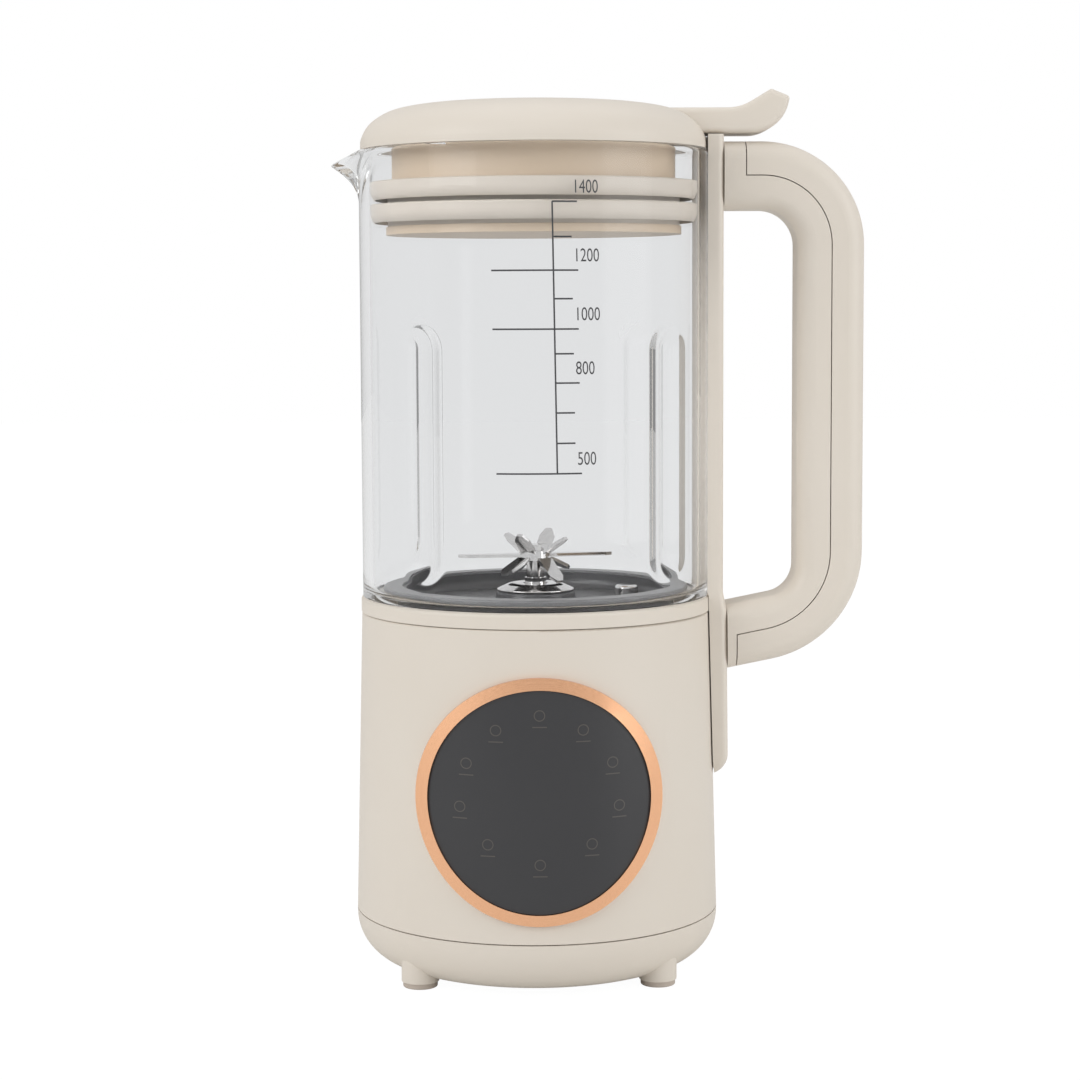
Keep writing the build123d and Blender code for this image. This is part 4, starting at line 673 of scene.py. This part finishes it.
buildGlassJar()
print("glass jar blown")


# printed scale on the front of the glass: a line, ticks and plain numbers

scalePrint = {
    "radius": 60.38,
    "lineX": 5.6,
    "lean": 0.0157,
    "leanFrom": 220.0,
    "thick": 0.55,
    "cutLength": 1.5,  # longest run of a bar between cuts
    "marks": [
        # height, left end, right end, number
        (264.5, 0.0, 8.2, "1400"), (242.4, -20.3, 8.2, "1200"), (223.4, -20.3, 8.0, "1000"),
        (205.9, 0.0, 8.0, "800"), (176.4, -20.0, 8.2, "500"),
        (253.2, 0.0, 6.2, ""), (233.2, 0.0, 6.2, ""), (215.4, 0.0, 6.2, ""), (196.2, 0.0, 6.2, ""),
        (186.3, 0.0, 6.2, ""),
    ],
    "numberX": 12.3,
    "numberLift": 2.8,
    "numberSize": 6.1,
    "numberSqueeze": 0.72,
}


def layFlat(item, place, scale):
    # stands a drawing up in the XZ plane at its place and size
    item.scale = scale
    item.rotation_euler = (pi / 2, 0, 0)
    item.location = [value * mm for value in place]
    bpy.ops.object.transform_apply(location=True, rotation=True, scale=True)


def flatBar(left, right, low, high):
    # a thin printed bar, cut along its length so that it bends well
    bpy.ops.mesh.primitive_plane_add(size=1)
    item = bpy.context.object
    layFlat(item, ((left + right) / 2, 0, (low + high) / 2), ((right - left) * mm, (high - low) * mm, 1))
    bpy.ops.object.mode_set(mode="EDIT")
    bpy.ops.mesh.select_all(action="SELECT")
    bpy.ops.mesh.subdivide(number_cuts=int(max(1, (right - left) // scalePrint["cutLength"])))
    bpy.ops.object.mode_set(mode="OBJECT")
    return item


def flatNumber(text, height):
    plan = scalePrint
    bpy.ops.object.text_add()
    item = bpy.context.object
    item.data.body = text
    item.data.size = plan["numberSize"] * mm
    item.data.align_x = "LEFT"
    bpy.ops.object.convert(target="MESH")
    item = bpy.context.object
    layFlat(item, (plan["numberX"], 0, height + plan["numberLift"]), (plan["numberSqueeze"], 1, 1))
    return item


def wrapOnGlass(item):
    # bends a drawing in the XZ plane round the jar's front, with the line's slight lean
    plan = scalePrint
    radius = plan["radius"] * mm
    for vertex in item.data.vertices:
        aside = plan["lean"] * (plan["leanFrom"] * mm - vertex.co.z)
        turn = (vertex.co.x + aside) / radius
        out = radius - vertex.co.y
        vertex.co = (out * sin(turn), -out * cos(turn), vertex.co.z)
    item.data.update()


def buildScalePrint():
    plan = scalePrint
    half = plan["thick"] / 2
    lineX = plan["lineX"]
    heights = [mark[0] for mark in plan["marks"]]
    items = [flatBar(lineX - half, lineX + half, min(heights), max(heights))]
    for height, left, right, number in plan["marks"]:
        items.append(flatBar(lineX + left, lineX + right, height - half, height + half))
        if number:
            items.append(flatNumber(number, height))
    item = joinAll(items, "scale_print")
    wrapOnGlass(item)
    finishPiece(item, finishes["scale_ink"], "black_plastic", "jar")


buildScalePrint()
print("scale printed")


# faint plain signs on the pane: a small ring over a short bar at each touch place

panelMarks = {
    "centreHeight": 68.2,
    "places": [
        # x and height from the pane's centre
        (0.0, 28.9), (14.4, 23.9), (-14.4, 23.9), (24.2, 12.6), (-24.2, 12.6), (26.4, -1.9), (-26.4, -1.9),
        (17.2, -14.1), (-17.2, -14.1), (0.0, -20.6),
    ],
    "ringSides": 32,
    "ringRadius": 1.9,
    "ringWidth": 0.35,
    "barHalf": 2.4,
    "barLow": -4.0,
    "barHigh": -3.6,
    "ahead": 5.0,  # the marks start this far before the pane, and are pressed back on it
    "lift": 0.05,
}


def buildMark():
    plan = panelMarks
    deselectAll()
    bpy.ops.mesh.primitive_circle_add(
        vertices=plan["ringSides"], radius=plan["ringRadius"] * mm, fill_type="NGON", rotation=(pi / 2, 0, 0),
    )
    ring = bpy.context.object
    bpy.ops.object.transform_apply(location=True, rotation=True, scale=True)
    bpy.ops.object.mode_set(mode="EDIT")
    bpy.ops.mesh.select_all(action="SELECT")
    bpy.ops.mesh.inset(thickness=plan["ringWidth"] * mm)
    bpy.ops.mesh.delete(type="FACE")
    bpy.ops.object.mode_set(mode="OBJECT")
    bar = flatBar(-plan["barHalf"], plan["barHalf"], plan["barLow"], plan["barHigh"])
    return joinAll([ring, bar], "panel_mark")


def buildPanelMarks():
    plan = panelMarks
    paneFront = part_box("panel_glass")[0][1]
    first = buildMark()
    marks = []
    for x, z in plan["places"]:
        mark = first.copy()
        mark.data = first.data.copy()
        bpy.context.scene.collection.objects.link(mark)
        mark.location = (x * mm, paneFront - plan["ahead"] * mm, (plan["centreHeight"] + z) * mm)
        marks.append(mark)
    bpy.data.objects.remove(first)
    item = joinAll(marks, "panel_marks")
    bpy.ops.object.transform_apply(location=True, rotation=True, scale=True)
    wrap = item.modifiers.new("wrap", "SHRINKWRAP")
    wrap.target = frame["nodes"]["panel_glass"]
    wrap.wrap_method = "PROJECT"
    wrap.use_project_y = True
    wrap.use_positive_direction = True
    wrap.use_negative_direction = False
    wrap.wrap_mode = "ABOVE_SURFACE"
    wrap.offset = plan["lift"] * mm
    bpy.ops.object.modifier_apply(modifier="wrap")
    finishPiece(item, finishes["panel_ink"], "panel_black", "base")


buildPanelMarks()
print("panel marked")


# the CAD nodes get the finishes of their slots

def dressNodes():
    slotOf = {row["node"]: row["material_slot"] for row in frame["record"]["subparts"]}
    for name, item in frame["nodes"].items():
        mat = finishes[slotOf[name]]
        if not item.material_slots:
            item.data.materials.append(mat)
        for slot in item.material_slots:
            slot.material = mat


dressNodes()
print("nodes dressed")
